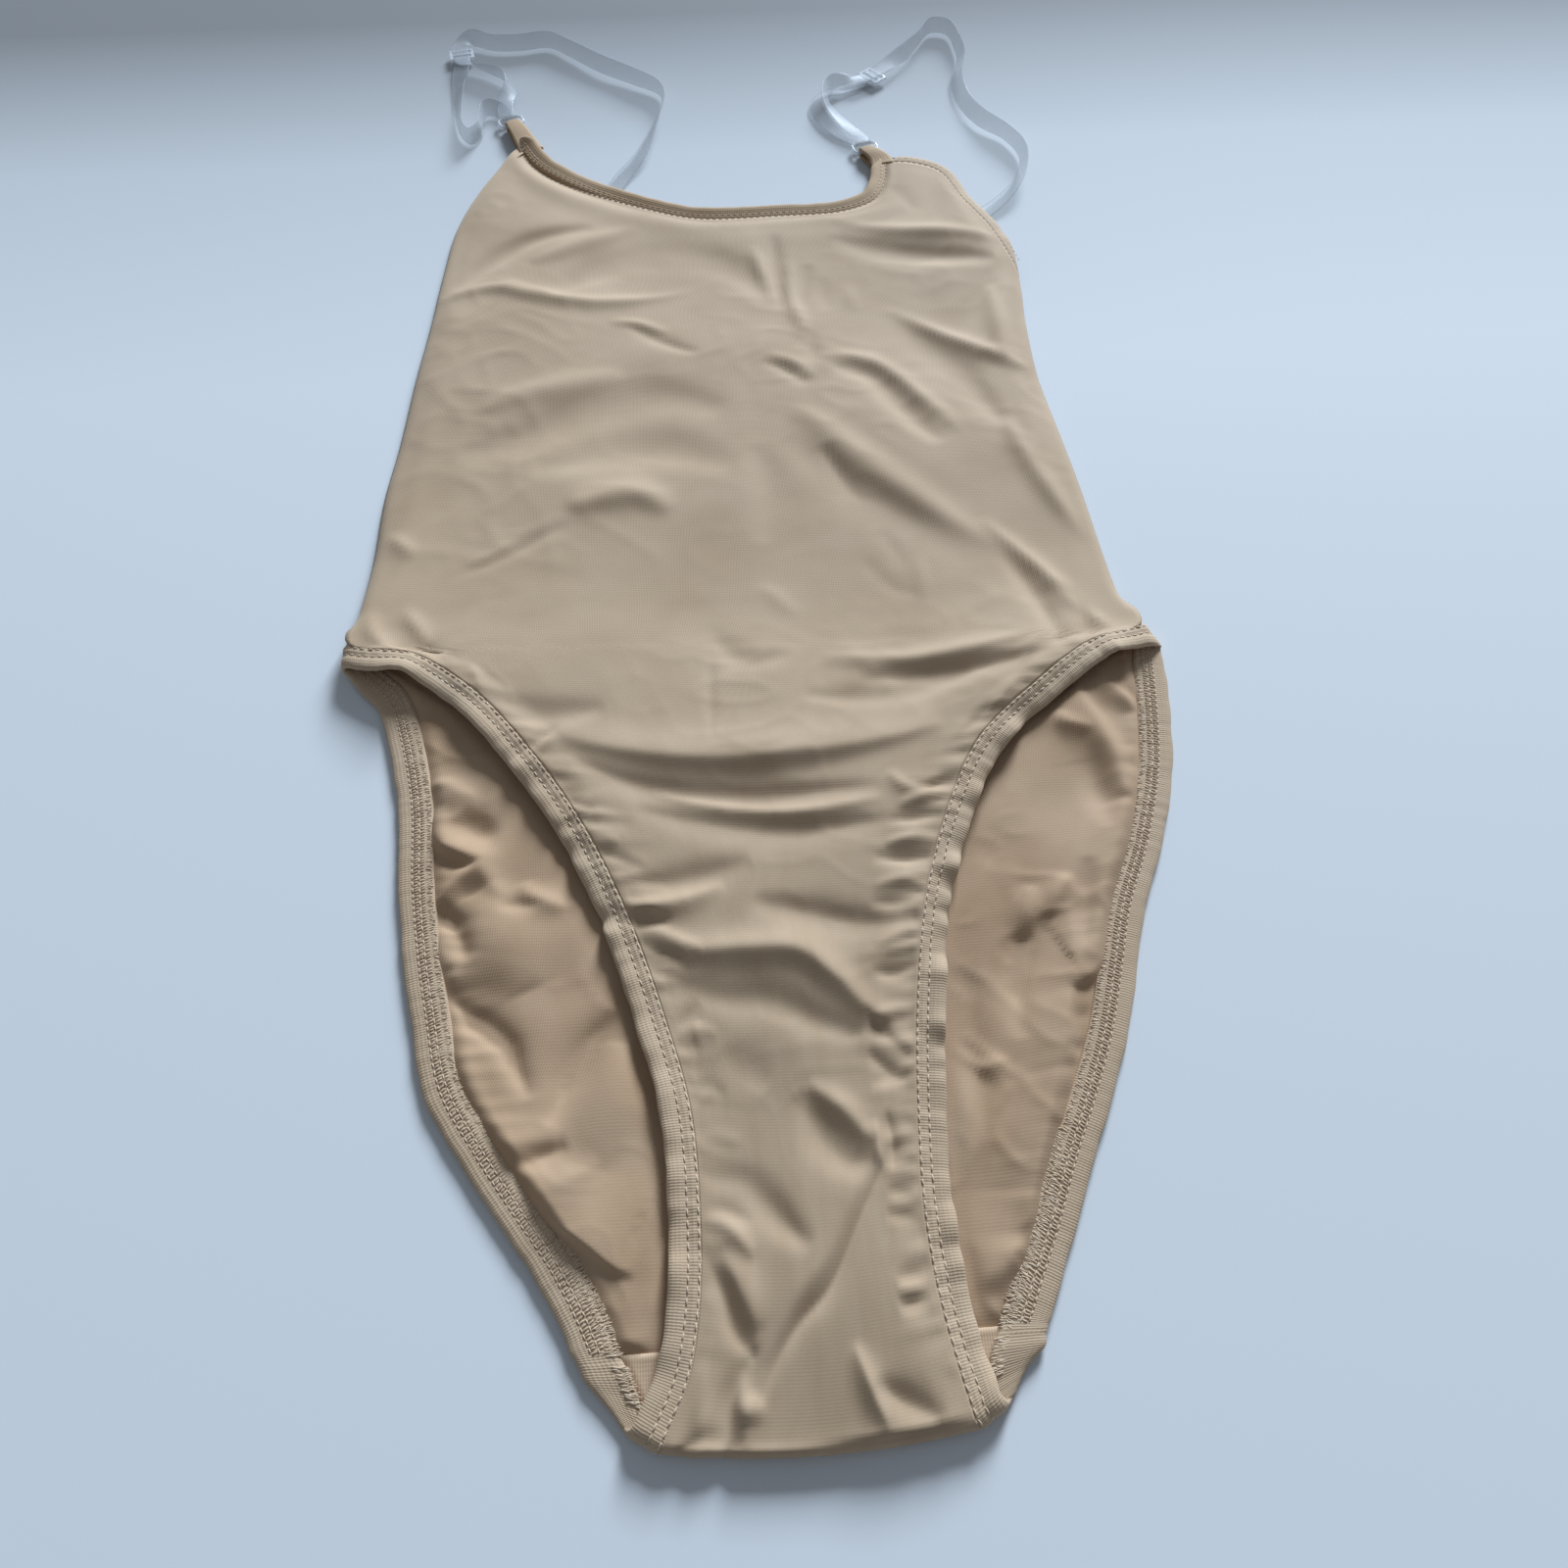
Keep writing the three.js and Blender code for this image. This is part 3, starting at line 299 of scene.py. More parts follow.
def spline(points, t):
    """Places on the curve through points, with t counted in points."""
    p = np.asarray(points, float)
    p = np.vstack([2 * p[0] - p[1], p, 2 * p[-1] - p[-2]])
    t = np.asarray(t, float)
    i = np.clip(t.astype(int), 0, len(p) - 4)
    f = (t - i)[:, None]
    a, b, c, d = p[i], p[i + 1], p[i + 2], p[i + 3]
    ab, bc, cd = (
        np.maximum(np.linalg.norm(q - r, axis=1, keepdims=True), 1e-4) ** 0.5
        for q, r in ((b, a), (c, b), (d, c))
    )
    leave = ((b - a) / ab - (c - a) / (ab + bc) + (c - b) / bc) * bc
    arrive = ((c - b) / bc - (d - b) / (bc + cd) + (d - c) / cd) * bc
    return (
        b + leave * f
        + (3 * (c - b) - 2 * leave - arrive) * f**2
        + (2 * (b - c) + leave + arrive) * f**3
    )


def lengths(places):
    """How far along a line each of its places is."""
    steps = np.linalg.norm(np.diff(places, axis=0), axis=1)
    return np.concatenate([[0], np.cumsum(steps)])


def resample(places, where, run):
    return np.stack([np.interp(where, run, places[:, k]) for k in range(places.shape[1])], axis=1)


def by_length(points, shares):
    """Places on the curve at these shares of its length."""
    fine = spline(points, np.linspace(0, len(points) - 1, 30 * len(points)))
    run = lengths(fine)
    return resample(fine, np.asarray(shares) * run[-1], run)


def unit(v):
    return v / np.maximum(np.linalg.norm(v, axis=-1, keepdims=True), 1e-9)


FOLD_STEPS = 14  # places along a fold's line for each of its points
FOLD_REACH = 3.2  # a fold ends this many times its softness away


def fold_height(folds, x, y):
    """Height of all the folds at each place. A fold is lower and narrower at its ends."""
    height = np.zeros_like(x)
    for points, rise, left, right, crest in folds:
        line = spline(points, np.linspace(0, len(points) - 1, FOLD_STEPS * (len(points) - 1) + 1))
        way = unit(np.gradient(line, axis=0))
        reach = FOLD_REACH * max(left, right)
        near = (
            (x > line[:, 0].min() - reach) & (x < line[:, 0].max() + reach)
            & (y > line[:, 1].min() - reach) & (y < line[:, 1].max() + reach)
        )
        px, py = x[near], y[near]
        dx, dy = px[:, None] - line[:, 0], py[:, None] - line[:, 1]
        k = np.argmin(dx**2 + dy**2, axis=1)
        n = np.arange(len(k))
        ex, ey = dx[n, k], dy[n, k]
        across = way[k, 0] * ey - way[k, 1] * ex
        run = lengths(line)
        along = np.clip((run[k] + way[k, 0] * ex + way[k, 1] * ey) / run[-1], 0, 1)
        spread = np.where(across > 0, left, right) * (0.55 + 0.45 * np.sin(np.pi * along))
        crest_line = np.sin(np.pi * along) ** 0.75
        height[near] += rise * np.exp(-(np.abs(across) / spread) ** crest) * crest_line
    return height


def ripples(x, y, size, depth, seed):
    """Slight unevenness of cloth that has been worn and put down."""
    flat = np.stack([x.ravel() / size, y.ravel() / size, np.full(x.size, seed)], axis=1)
    values = np.array([noise.noise(Vector(p)) for p in flat])
    return depth * values.reshape(x.shape)


def crumple(x, y, size, depth, seed):
    """Small crisp creases, thrown together here and there and missing elsewhere."""
    ridge = 1 - np.abs(ripples(x, y, size, 2.4, seed))
    busy = smooth(0.5 + ripples(x, y, 4.2 * size, 1.7, seed + 9))
    return depth * busy * (np.clip(ridge, 0, 1) ** 3 - 0.3)


def puckers(run, inward, seed, start, stop, most, busy):
    """Little gathers that run in from a sewn edge, unevenly spaced, strongest at busy."""
    draw = random.Random(seed)
    height = np.zeros_like(inward)
    place = start
    while place < stop:
        strength = 0.45 + 0.55 * math.exp(-(((place - busy) / 70) ** 2))
        rise = most * strength * draw.uniform(0.35, 1.0) * draw.choice((1, 1, -0.8))
        width = draw.uniform(1.5, 2.7)
        reach = draw.uniform(5, 15) * (0.6 + 0.6 * strength)
        slant = draw.uniform(-0.25, 0.25)
        off = run[:, None] - place - slant * inward
        height += rise * hump(off, 0, width) * smooth((inward + 1.5) / 4) * hump(inward, 0, reach)
        place += draw.uniform(3.4, 7.6)
    return height


def flat_grid(left, right, bottom, top, v, u):
    """Straight rows that bend near both ends to the end curves."""
    def bend(end):
        return end - (end[0] + np.outer(u, end[-1] - end[0]))
    base = left[:, None, :] + u[None, :, None] * (right - left)[:, None, :]
    low = smooth(1 - v / 0.4)[:, None, None] * bend(bottom)[None]
    high = smooth((v - 0.6) / 0.4)[:, None, None] * bend(top)[None]
    return base + low + high


def packed_rows(rows, zones):
    """Row numbers in the table, spaced as the zones say: (first row, last row, step in mm)."""
    chosen = []
    for first, last, step in zones:
        t = np.linspace(first, last, 400)
        left = spline([r[:2] for r in rows], t)
        right = spline([r[2:4] for r in rows], t)
        run = lengths((left + right) / 2)
        count = max(2, int(round(run[-1] / step)) + 1)
        chosen.append(np.interp(np.linspace(0, run[-1], count), run, t)[:-1])
    return np.concatenate([*chosen, [zones[-1][1]]])


def surface_normals(places):
    along = np.gradient(places, axis=0)
    across = np.gradient(places, axis=1)
    return unit(np.cross(across, along))


def clear_of_edge(inward):
    """How much of a fold is left this far in from an edge, which holds the cloth flat."""
    return smooth((inward + 5) / 16)


FRONT_COLUMNS = 136
LEG_STEP = 1.6  # between the front's rows as far as the hip
BODY_STEP = 2.4  # and above it
TURN_ROWS = 12
TURN_WIDTH = 90  # the fold's width, nearly
UNDER_ROWS = 8
TOP_START = TURN_ROWS + UNDER_ROWS
LEG_END = 300  # the gathers stop here along a leg's edge
HOLLOW_DEPTH = 2.4  # under the neck band
SWELL_HEIGHT = 1.1  # further down from it


def front_form():
    """The outer face of the front, from the crotch seam on the table, round the fold and up."""
    t = packed_rows(FRONT_ROWS, [(0, HIP, LEG_STEP), (HIP, TIP_ROW, BODY_STEP)])
    s = np.linspace(0, 1, FRONT_COLUMNS + 1)
    u = s - 0.06 * np.sin(2 * np.pi * s) / (2 * np.pi)
    table = np.array(FRONT_ROWS, float)
    left, right = spline(table[:, :2], t), spline(table[:, 2:4], t)
    edge = spline(table[:, 4:5], t)[:, 0]
    middle = spline(table[:, 5:6], t)[:, 0]
    x0 = mix(left[0, 0], right[0, 0], u)
    fold = FOLD_MIDDLE + FOLD_BOW * (x0 / FOLD_HALF) ** 2
    bottom = np.stack([x0, fold + FOLD_RADIUS], axis=1)
    left[0], right[0] = bottom[0], bottom[-1]
    flat = flat_grid(left, right, bottom, by_length(NECKLINE, u), t / t[-1], u)
    x, y = flat[..., 0], flat[..., 1]
    to_left = np.linalg.norm(flat - flat[:, :1], axis=2)
    to_right = np.linalg.norm(flat - flat[:, -1:], axis=2)
    inward = np.minimum(to_left, to_right)
    lie = mix(edge[:, None], middle[:, None], smooth(inward / EDGE_ROUND))
    clear = clear_of_edge(inward)
    # the sides turn down to the table where the front goes over into the back
    side = smooth((t - HIP - 0.4) / 0.8) * (1 - 0.55 * smooth((t - UNDERARM - 0.2) / 1.5))
    right_side = side * (1 - smooth((t - UNDERARM + 0.3) / 0.5))
    near_left = to_left < to_right
    drop = np.where(near_left, side[:, None], right_side[:, None])
    rolled = 1 - np.sqrt(1 - (1 - np.clip(inward / 5.5, 0, 1)) ** 2)
    lie = lie - drop * rolled * (edge[:, None] - 0.75)
    # under the neck band the cloth falls away, most at the left end, and swells again further down
    top_run = lengths(flat[-1])
    hollow = 0.4 + 0.6 * hump(top_run, 36, 34)[None, :]
    depth = np.linalg.norm(flat - flat[-1:], axis=2)
    lie = lie - HOLLOW_DEPTH * hollow * hump(depth, 2, 6)
    lie = lie + SWELL_HEIGHT * hollow ** 2 * hump(depth, 14, 7)
    # the same folds go on round the crotch fold, which is laid out straight for them
    angles = np.linspace(0, np.pi, TURN_ROWS + 1)[1:]
    out = np.linspace(0, 1, UNDER_ROWS + 1)[1:]
    turn = []
    for angle in angles:
        spread = 1 + FOLD_SPREAD * angle / np.pi
        place = np.stack([
            x0 * spread,
            bottom[:, 1] - FOLD_RADIUS * np.sin(angle),
            np.full(len(x0), FOLD_RADIUS + FOLD_RADIUS * math.cos(angle)),
        ], axis=1)
        normal = np.tile([0, -math.sin(angle), math.cos(angle)], (len(x0), 1))
        laid = bottom[:, 1] - FOLD_RADIUS * angle
        lift = fold_height(FRONT_FOLDS, x0, laid) * (1 - smooth((angle - 0.9) / 1.3))
        lift = lift * clear_of_edge(np.minimum(u, 1 - u) * TURN_WIDTH)
        turn.append(place + normal * lift[:, None])
    under = []
    for share in out:
        across = mix(BACK_ROWS[0][0], BACK_ROWS[0][2], u)
        under.append(np.stack([
            mix(x0 * (1 + FOLD_SPREAD), across, share),
            mix(bottom[:, 1], SEAM_Y - 0.3, share),
            np.zeros(len(u)),
        ], axis=1))
    row_run = lengths((left + right) / 2)
    left_run, right_run = lengths(left), lengths(right)
    height = fold_height(FRONT_FOLDS, x, y) * clear
    legs = 1 - smooth((t - HIP + 0.7) / 0.7)
    height += legs[:, None] * puckers(left_run, to_left, 11, 22, LEG_END, most=1.1, busy=170)
    height += legs[:, None] * puckers(right_run, to_right, 23, 14, LEG_END, most=1.5, busy=150)
    torso = smooth((y - 200) / 90)
    height += ripples(x, 0.8 * y, size=70, depth=4.4, seed=3.1) * clear
    height += ripples(x, y, size=24, depth=0.4, seed=7.7) * clear
    height += crumple(x + 0.5 * y, y - 0.3 * x, 34, 0.3, 12.3) * clear * mix(0.5, 1, torso)
    height += crumple(0.7 * x - 0.5 * y, y + 0.6 * x, 17, 0.3, 15.9) * clear * mix(0.6, 1, torso)
    # a trough stops short of the back, which lies right under it
    deepest = np.maximum(lie - 3.2, 0.4)
    height = np.where(height < 0, -deepest * (1 - np.exp(height / deepest)), height)
    neck = 1 - smooth((t - 20) / 1.6)
    start = smooth(np.minimum(t / 0.25, 1))
    lie_start = mix(2 * FOLD_RADIUS, lie, start[:, None])
    on_top = np.dstack([x, y, lie_start + height * np.maximum(neck, 0.35)[:, None]])
    rows = [*under[::-1], *turn[::-1]]
    laid = np.concatenate([
        -FOLD_RADIUS * np.pi - (SEAM_Y - 3) * out[::-1],
        -FOLD_RADIUS * angles[::-1],
        row_run,
    ])
    return np.concatenate([np.array(rows), on_top]), laid, u, t


FRONT, FRONT_LAID, FRONT_U, FRONT_T = front_form()


def leg_edges(y):
    """The front's two leg edges at each height up the picture."""
    table = np.array(FRONT_ROWS[: HIP + 1], float)
    left = np.interp(y, table[:, 1], table[:, 0])
    right = np.interp(y, table[:, 3], table[:, 2])
    return left, right


BACK_COLUMNS = 150
OPENING_STEP = 1.15  # between the back's rows where the leg openings show it
HIDDEN_STEP = 4.5  # and above the hip


def back_form():
    """The inside of the back, which lies on the table and shows in both leg openings."""
    rows = BACK_ROWS + [r[:4] for r in FRONT_ROWS[HIP + 1: UNDERARM + 1]]
    t = packed_rows(rows, [(0, BACK_HIP, OPENING_STEP), (BACK_HIP, BACK_TOP_ROW, HIDDEN_STEP)])
    s = np.linspace(0, 1, BACK_COLUMNS + 1)
    # the columns lie closest at both edges and in the middle
    u = s - 0.45 * np.sin(4 * np.pi * s) / (4 * np.pi)
    table = np.array(rows, float)
    left, right = spline(table[:, :2], t), spline(table[:, 2:4], t)
    tuck = 1.6 * smooth((t - BACK_HIP) / 0.6)
    left[:, 0] += tuck
    right[:, 0] -= tuck
    bottom = np.stack([mix(left[0, 0], right[0, 0], u), mix(left[0, 1], right[0, 1], u)], axis=1)
    top = by_length(BACK_TOP, u)
    flat = flat_grid(left, right, bottom, top, t / t[-1], u)
    x, y = flat[..., 0], flat[..., 1]
    to_left = np.linalg.norm(flat - flat[:, :1], axis=2)
    to_right = np.linalg.norm(flat - flat[:, -1:], axis=2)
    inward = np.minimum(to_left, to_right)
    open_left, open_right = leg_edges(y)
    covered = np.minimum(x - open_left, open_right - x) + 12
    room = mix(11.0, 1.2, smooth((covered + 11) / 12))
    lift = fold_height(BACK_FOLDS, x, y) + ripples(x, y, 26, 1.6, 1.3)
    lift += crumple(x + 0.3 * y, y, 16, 0.8, 21.4) + 0.2 + 2.6 * (1 - smooth(covered / 14))
    run_left, run_right = lengths(left), lengths(right)
    legs = 1 - smooth((t - (BACK_HIP - 1)) / 0.8)
    lift += legs[:, None] * puckers(run_left, to_left - 3, 31, 8, LEG_END, most=0.9, busy=150)
    lift += legs[:, None] * puckers(run_right, to_right - 3, 37, 8, LEG_END, most=0.9, busy=90)
    lift = np.clip(lift * smooth((inward + 1) / 9) * smooth(t / 0.5)[:, None], 0, None)
    lift = room * (1 - np.exp(-lift / room))
    places = np.dstack([x, y, CLOTH + 0.25 + lift])
    return places, lengths((left + right) / 2), u, t


BACK, BACK_LAID, BACK_U, BACK_T = back_form()


# Finishes


def node(tree, kind, at, **settings):
    made = tree.nodes.new(kind)
    made.location = at
    for name, value in settings.items():
        if name in made.inputs:
            made.inputs[name].default_value = value
        else:
            setattr(made, name, value)
    return made


def ramp(tree, at, stops):
    made = node(tree, "ShaderNodeValToRGB", at)
    while len(made.color_ramp.elements) < len(stops):
        made.color_ramp.elements.new(0.5)
    for element, (place, colour) in zip(made.color_ramp.elements, stops):
        element.position = place
        element.color = (*colour, 1)
    return made


def new_finish(name, values):
    """A finish, its nodes and its shader, which has these values all over."""
    finish = bpy.data.materials.new(name)
    finish.use_nodes = True
    shader = finish.node_tree.nodes["Principled BSDF"]
    for socket, value in values.items():
        shader.inputs[socket].default_value = value
    return finish, finish.node_tree, shader


def object_noise(tree, scale, detail):
    where = node(tree, "ShaderNodeTexCoord", (-900, 0))
    cloud = node(tree, "ShaderNodeTexNoise", (-700, 0), Scale=scale, Detail=detail)
    tree.links.new(where.outputs["Object"], cloud.inputs["Vector"])
    return cloud.outputs["Fac"]


def colour_ramp(tree, shader, share, at, stops):
    """The shader's colour, by a ramp over a texture."""
    tone = ramp(tree, at, stops)
    tree.links.new(share, tone.inputs["Fac"])
    tree.links.new(tone.outputs["Color"], shader.inputs["Base Color"])


def bumps(tree, shader, height, at, strength, distance):
    bump = node(tree, "ShaderNodeBump", at, Strength=strength, Distance=distance)
    tree.links.new(height, bump.inputs["Height"])
    tree.links.new(bump.outputs["Normal"], shader.inputs["Normal"])


WAVE_SCALE = 314.159  # of a wave texture with bands one millimetre apart


def knit(name, colour, deep, light, rib=0.62, rib_depth=0.35, cross=0.0, sheen=0.2):
    """Fine warp knit: ribs along the cloth, their valleys darkened as painted shade, soft mottling, a
    slight sheen. Ribs in millimetres.
    """
    finish, tree, shader = new_finish(name, {
        "Roughness": 0.78, "Sheen Weight": sheen, "Sheen Roughness": 0.42,
        "Sheen Tint": (1.0, 0.93, 0.84, 1), "Specular IOR Level": 0.28,
    })
    laid = node(tree, "ShaderNodeTexCoord", (-1500, 0))
    link = tree.links.new
    ribs = node(tree, "ShaderNodeTexWave", (-1200, 0), wave_type="BANDS", bands_direction="X",
                Scale=WAVE_SCALE / rib, Distortion=1.2, Detail=2.0)
    ribs.inputs["Detail Scale"].default_value = 1.5
    courses = node(tree, "ShaderNodeTexWave", (-1200, -300), wave_type="BANDS",
                   bands_direction="Y", Scale=WAVE_SCALE / (rib * 1.5), Distortion=1.0, Detail=1.0)
    fine = node(tree, "ShaderNodeTexNoise", (-1200, 300), Scale=900.0, Detail=3.0, Roughness=0.6)
    patches = node(tree, "ShaderNodeTexNoise", (-1200, 600), Scale=26.0, Detail=4.0, Roughness=0.55)
    for texture in (ribs, courses, fine, patches):
        link(laid.outputs["UV"], texture.inputs["Vector"])
    tone = ramp(tree, (-900, 600), [(0.3, deep), (0.52, colour), (0.74, light)])
    link(patches.outputs["Fac"], tone.inputs["Fac"])
    # painted shade: the colour is darkened in the rib valleys, where shade falls
    thread = ramp(tree, (-900, 0), [(0.0, (0.86, 0.84, 0.81)), (0.45, (1, 1, 1))])
    link(ribs.outputs["Fac"], thread.inputs["Fac"])
    shade = node(tree, "ShaderNodeMix", (-600, 300), data_type="RGBA", blend_type="MULTIPLY")
    shade.inputs[0].default_value = 0.8
    link(tone.outputs["Color"], shade.inputs[6])
    link(thread.outputs["Color"], shade.inputs[7])
    link(shade.outputs[2], shader.inputs["Base Color"])
    weave = node(tree, "ShaderNodeMath", (-900, -200), operation="MULTIPLY_ADD")
    link(courses.outputs["Fac"], weave.inputs[0])
    weave.inputs[1].default_value = 0.4 + cross
    link(ribs.outputs["Fac"], weave.inputs[2])
    grain = node(tree, "ShaderNodeMath", (-700, -200), operation="MULTIPLY_ADD")
    link(fine.outputs["Fac"], grain.inputs[0])
    grain.inputs[1].default_value = 0.9
    link(weave.outputs["Value"], grain.inputs[2])
    bumps(tree, shader, grain.outputs["Value"], (-400, -200), rib_depth, 0.00012)
    return finish


def thread_finish(name, colour):
    finish, tree, shader = new_finish(name, {"Roughness": 0.6, "Sheen Weight": 0.3})
    twist = object_noise(tree, 1600.0, 2.0)
    darker = tuple(0.8 * c for c in colour)
    colour_ramp(tree, shader, twist, (-450, 0), [(0.3, darker), (0.7, colour)])
    bumps(tree, shader, twist, (-450, -250), 0.4, 0.0001)
    return finish


def clear_finish(name, colour, see_through, rough, haze):
    """Clear soft plastic: pale, glossy, faintly clouded."""
    finish, tree, shader = new_finish(name, {
        "IOR": 1.45, "Alpha": see_through, "Specular IOR Level": 0.2, "Coat Weight": 0.05,
        "Coat Roughness": 0.12,
    })
    cloud = object_noise(tree, haze, 3.0)
    darker = tuple(0.9 * c for c in colour)
    colour_ramp(tree, shader, cloud, (-450, 0), [(0.25, darker), (0.75, colour)])
    gloss = node(tree, "ShaderNodeMapRange", (-450, -250))
    gloss.inputs["To Min"].default_value = rough
    gloss.inputs["To Max"].default_value = rough + 0.12
    tree.links.new(cloud, gloss.inputs["Value"])
    tree.links.new(gloss.outputs["Result"], shader.inputs["Roughness"])
    bumps(tree, shader, cloud, (-450, -500), 0.25, 0.0003)
    return finish


OUTSIDE = knit("beige knit", (0.520, 0.371, 0.238), (0.480, 0.336, 0.210), (0.555, 0.402, 0.264))
# the knit's own inside face, its colour made darker and warmer than the outside: painted shade for the
# leg openings' pockets and a painted glow of light through the cloth
INSIDE_SHADED = knit("beige knit inside, painted shade and glow", (0.500, 0.330, 0.200), (0.450, 0.285, 0.165),
              (0.540, 0.370, 0.235), rib=0.7, sheen=0.15)
EDGING = knit("edge casing", (0.545, 0.394, 0.258), (0.510, 0.360, 0.230),
              (0.580, 0.426, 0.286), rib=0.9, rib_depth=0.6, cross=0.3)
# the edge casing made darker as painted shade, where the neck band and the tabs tilt away from the
# light
NECK_EDGING_SHADED = knit("neck casing with painted shade", (0.450, 0.300, 0.170), (0.400, 0.260, 0.140),
                   (0.490, 0.335, 0.200), rib=0.9, rib_depth=0.6, cross=0.3, sheen=0.15)
LINED = knit("crotch lining cotton", (0.610, 0.425, 0.275), (0.570, 0.386, 0.242),
             (0.645, 0.458, 0.304), rib=0.8, sheen=0.15)
THREAD = thread_finish("sewing thread", (0.660, 0.500, 0.345))
FUZZ = thread_finish("overlock thread", (0.720, 0.540, 0.365))
TAPE = clear_finish("clear tape", (0.50, 0.52, 0.54), see_through=0.25, rough=0.38, haze=60.0)
CLEAR = clear_finish("clear plastic", (0.88, 0.90, 0.92), see_through=0.5, rough=0.06, haze=200.0)


# Meshes


def new_object(name, data):
    made = bpy.data.objects.new(name, data)
    bpy.context.scene.collection.objects.link(made)
    return made


def finish_mesh(bm, name, finishes, replaces=()):
    for face in bm.faces:
        face.smooth = True
    mesh = bpy.data.meshes.new(name)
    bm.to_mesh(mesh)
    bm.free()
    piece = new_object(name, mesh)
    for finish in finishes:
        mesh.materials.append(finish)
    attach(piece, "root")
    if replaces:
        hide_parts(*replaces)
    return piece


def place_grid(places, laid):
    """A grid of quads moved on to places (rows, columns, xyz in millimetres), with its UV laid flat."""
    rows, columns = places.shape[:2]
    where = metres(places)
    bm = bmesh.new()
    bmesh.ops.create_grid(bm, x_segments=columns - 1, y_segments=rows - 1, size=1, calc_uvs=True)
    uv = bm.loops.layers.uv.active or bm.loops.layers.uv.new("UVMap")
    cell = {}
    for vert in bm.verts:
        i = int(round((vert.co.x + 1) / 2 * (columns - 1)))
        j = int(round((vert.co.y + 1) / 2 * (rows - 1)))
        cell[vert.index] = (j, i)
        vert.co = where[j, i]
    flat = laid / 1000
    for face in bm.faces:
        for loop in face.loops:
            j, i = cell[loop.vert.index]
            loop[uv].uv = flat[j, i]
    bm.normal_update()
    return bm


def thicken(piece, thickness, offset):
    shell = piece.modifiers.new("thickness", "SOLIDIFY")
    shell.thickness = thickness / 1000
    shell.offset = offset
    return shell


def sheet_of_cloth(name, places, laid, finishes, replaces, thickness=CLOTH):
    """A sheet, given by the face that shows, with its thickness behind that face."""
    piece = finish_mesh(place_grid(places, laid), name, finishes, replaces)
    shell = thicken(piece, thickness, -1)
    shell.material_offset = len(finishes) - 1
    shell.material_offset_rim = 0
    return piece


TUBE_ROUND = 26  # once round a casing, for where its knit meets itself


def tube(name, rings, laid, finishes, replaces, closed):
    """A solid through rings of places: (stations, round the ring, xyz)."""
    around = np.concatenate([rings, rings[:, :1]], axis=1)
    flat = np.concatenate([laid, laid[:, :1] + [[[0, TUBE_ROUND]]]], axis=1)
    if closed:
        around = np.concatenate([around, around[:1]], axis=0)
        flat = np.concatenate([flat, flat[:1] + [[[flat[-1, 0, 0] + 1, 0]]]], axis=0)
    bm = place_grid(around, flat)
    bmesh.ops.remove_doubles(bm, verts=bm.verts, dist=1e-6)
    open_edges = [e for e in bm.edges if e.is_boundary]
    if open_edges:
        bmesh.ops.holes_fill(bm, edges=open_edges, sides=0)
    bmesh.ops.recalc_face_normals(bm, faces=bm.faces)
    return finish_mesh(bm, name, finishes, replaces)


class Line:
    """A sewn edge: places along it, the way out of the cloth and the way its outer face looks."""

    def __init__(self, point, out, face, step=1.0, closed=False):
        run = lengths(point)
        count = int(round(run[-1] / step)) + 1
        where = np.linspace(0, run[-1], count)
        self.point = resample(point, where, run)
        self.out = unit(resample(out, where, run))
        self.face = unit(resample(face, where, run))
        self.run = where
        self.closed = closed

    def at(self, where, out, up):
        """The place at this length, so far out of the cloth and so far up from its outer face."""
        point, away, face = (
            np.array([np.interp(where, self.run, values[:, k]) for k in range(3)])
            for values in (self.point, self.out, self.face)
        )
        return point + away * out + face * up


def evened(vectors, times=3):
    for _ in range(times):
        padded = np.vstack([vectors[:1], vectors, vectors[-1:]])
        vectors = unit(padded[:-2] + padded[1:-1] * 2 + padded[2:])
    return vectors


def edge_line(edge, near, face):
    """Point, way out and outer face along a panel's edge."""
    tangent = unit(np.gradient(edge, axis=0))
    out = edge - near
    out = unit(out - (out * tangent).sum(1, keepdims=True) * tangent)
    out = evened(out)
    face = unit(face - (face * out).sum(1, keepdims=True) * out)
    return edge, out, evened(face)


def casing(name, line, profile, replaces, seed, pucker=0.3, wide=None, finish=None):
    """The folded casing that is sewn along an edge, drawn up a little by its elastic."""
    def uneven(size, row):
        return np.array([noise.noise(Vector((r / size, seed, row))) for r in line.run])
    swell = 1 + 0.05 * uneven(9, 0)
    busy = 0.6 + 0.8 * uneven(60, 8)
    ripple = uneven(2.3, 4) * pucker * busy
    share = np.ones(len(line.run)) if wide is None else wide(line.run)
    rings = []
    for k in range(len(line.run)):
        ring = []
        for across, up in profile:
            a = across * (swell[k] if across > 0 else 1) * share[k]
            h = (up + (ripple[k] * 1.6 if 0.4 < across < 3.8 else ripple[k] * 0.6)) * share[k]
            ring.append(line.point[k] + line.out[k] * a + line.face[k] * h)
        rings.append(ring)
    rings = np.array(rings)
    round_it = lengths(np.array(profile))
    laid = np.stack(np.meshgrid(line.run, round_it, indexing="ij"), axis=2)
    return tube(name, rings, laid, [finish or EDGING], replaces, line.closed)


# Once round a casing, from the cloth over its outer face and back under: how far out of the
# cloth's edge, and how high from the cloth's outer face
LEG_PROFILE = [
    (-1.0, -0.55), (-0.2, -0.12), (0.7, 0.1), (2.0, 0.22), (3.3, 0.1), (4.0, -0.2), (4.8, 0.14),
    (6.3, 0.34), (8.0, 0.26), (9.2, -0.05), (9.9, -0.7), (10.0, -1.25), (9.5, -1.85), (8.4, -2.2),
    (6.4, -2.35), (4.4, -2.15), (2.0, -2.35), (-1.4, -2.3), (-2.8, -2.0), (-3.2, -1.4), (-2.6, -1.0),
]
BACK_LIFT = 0.5
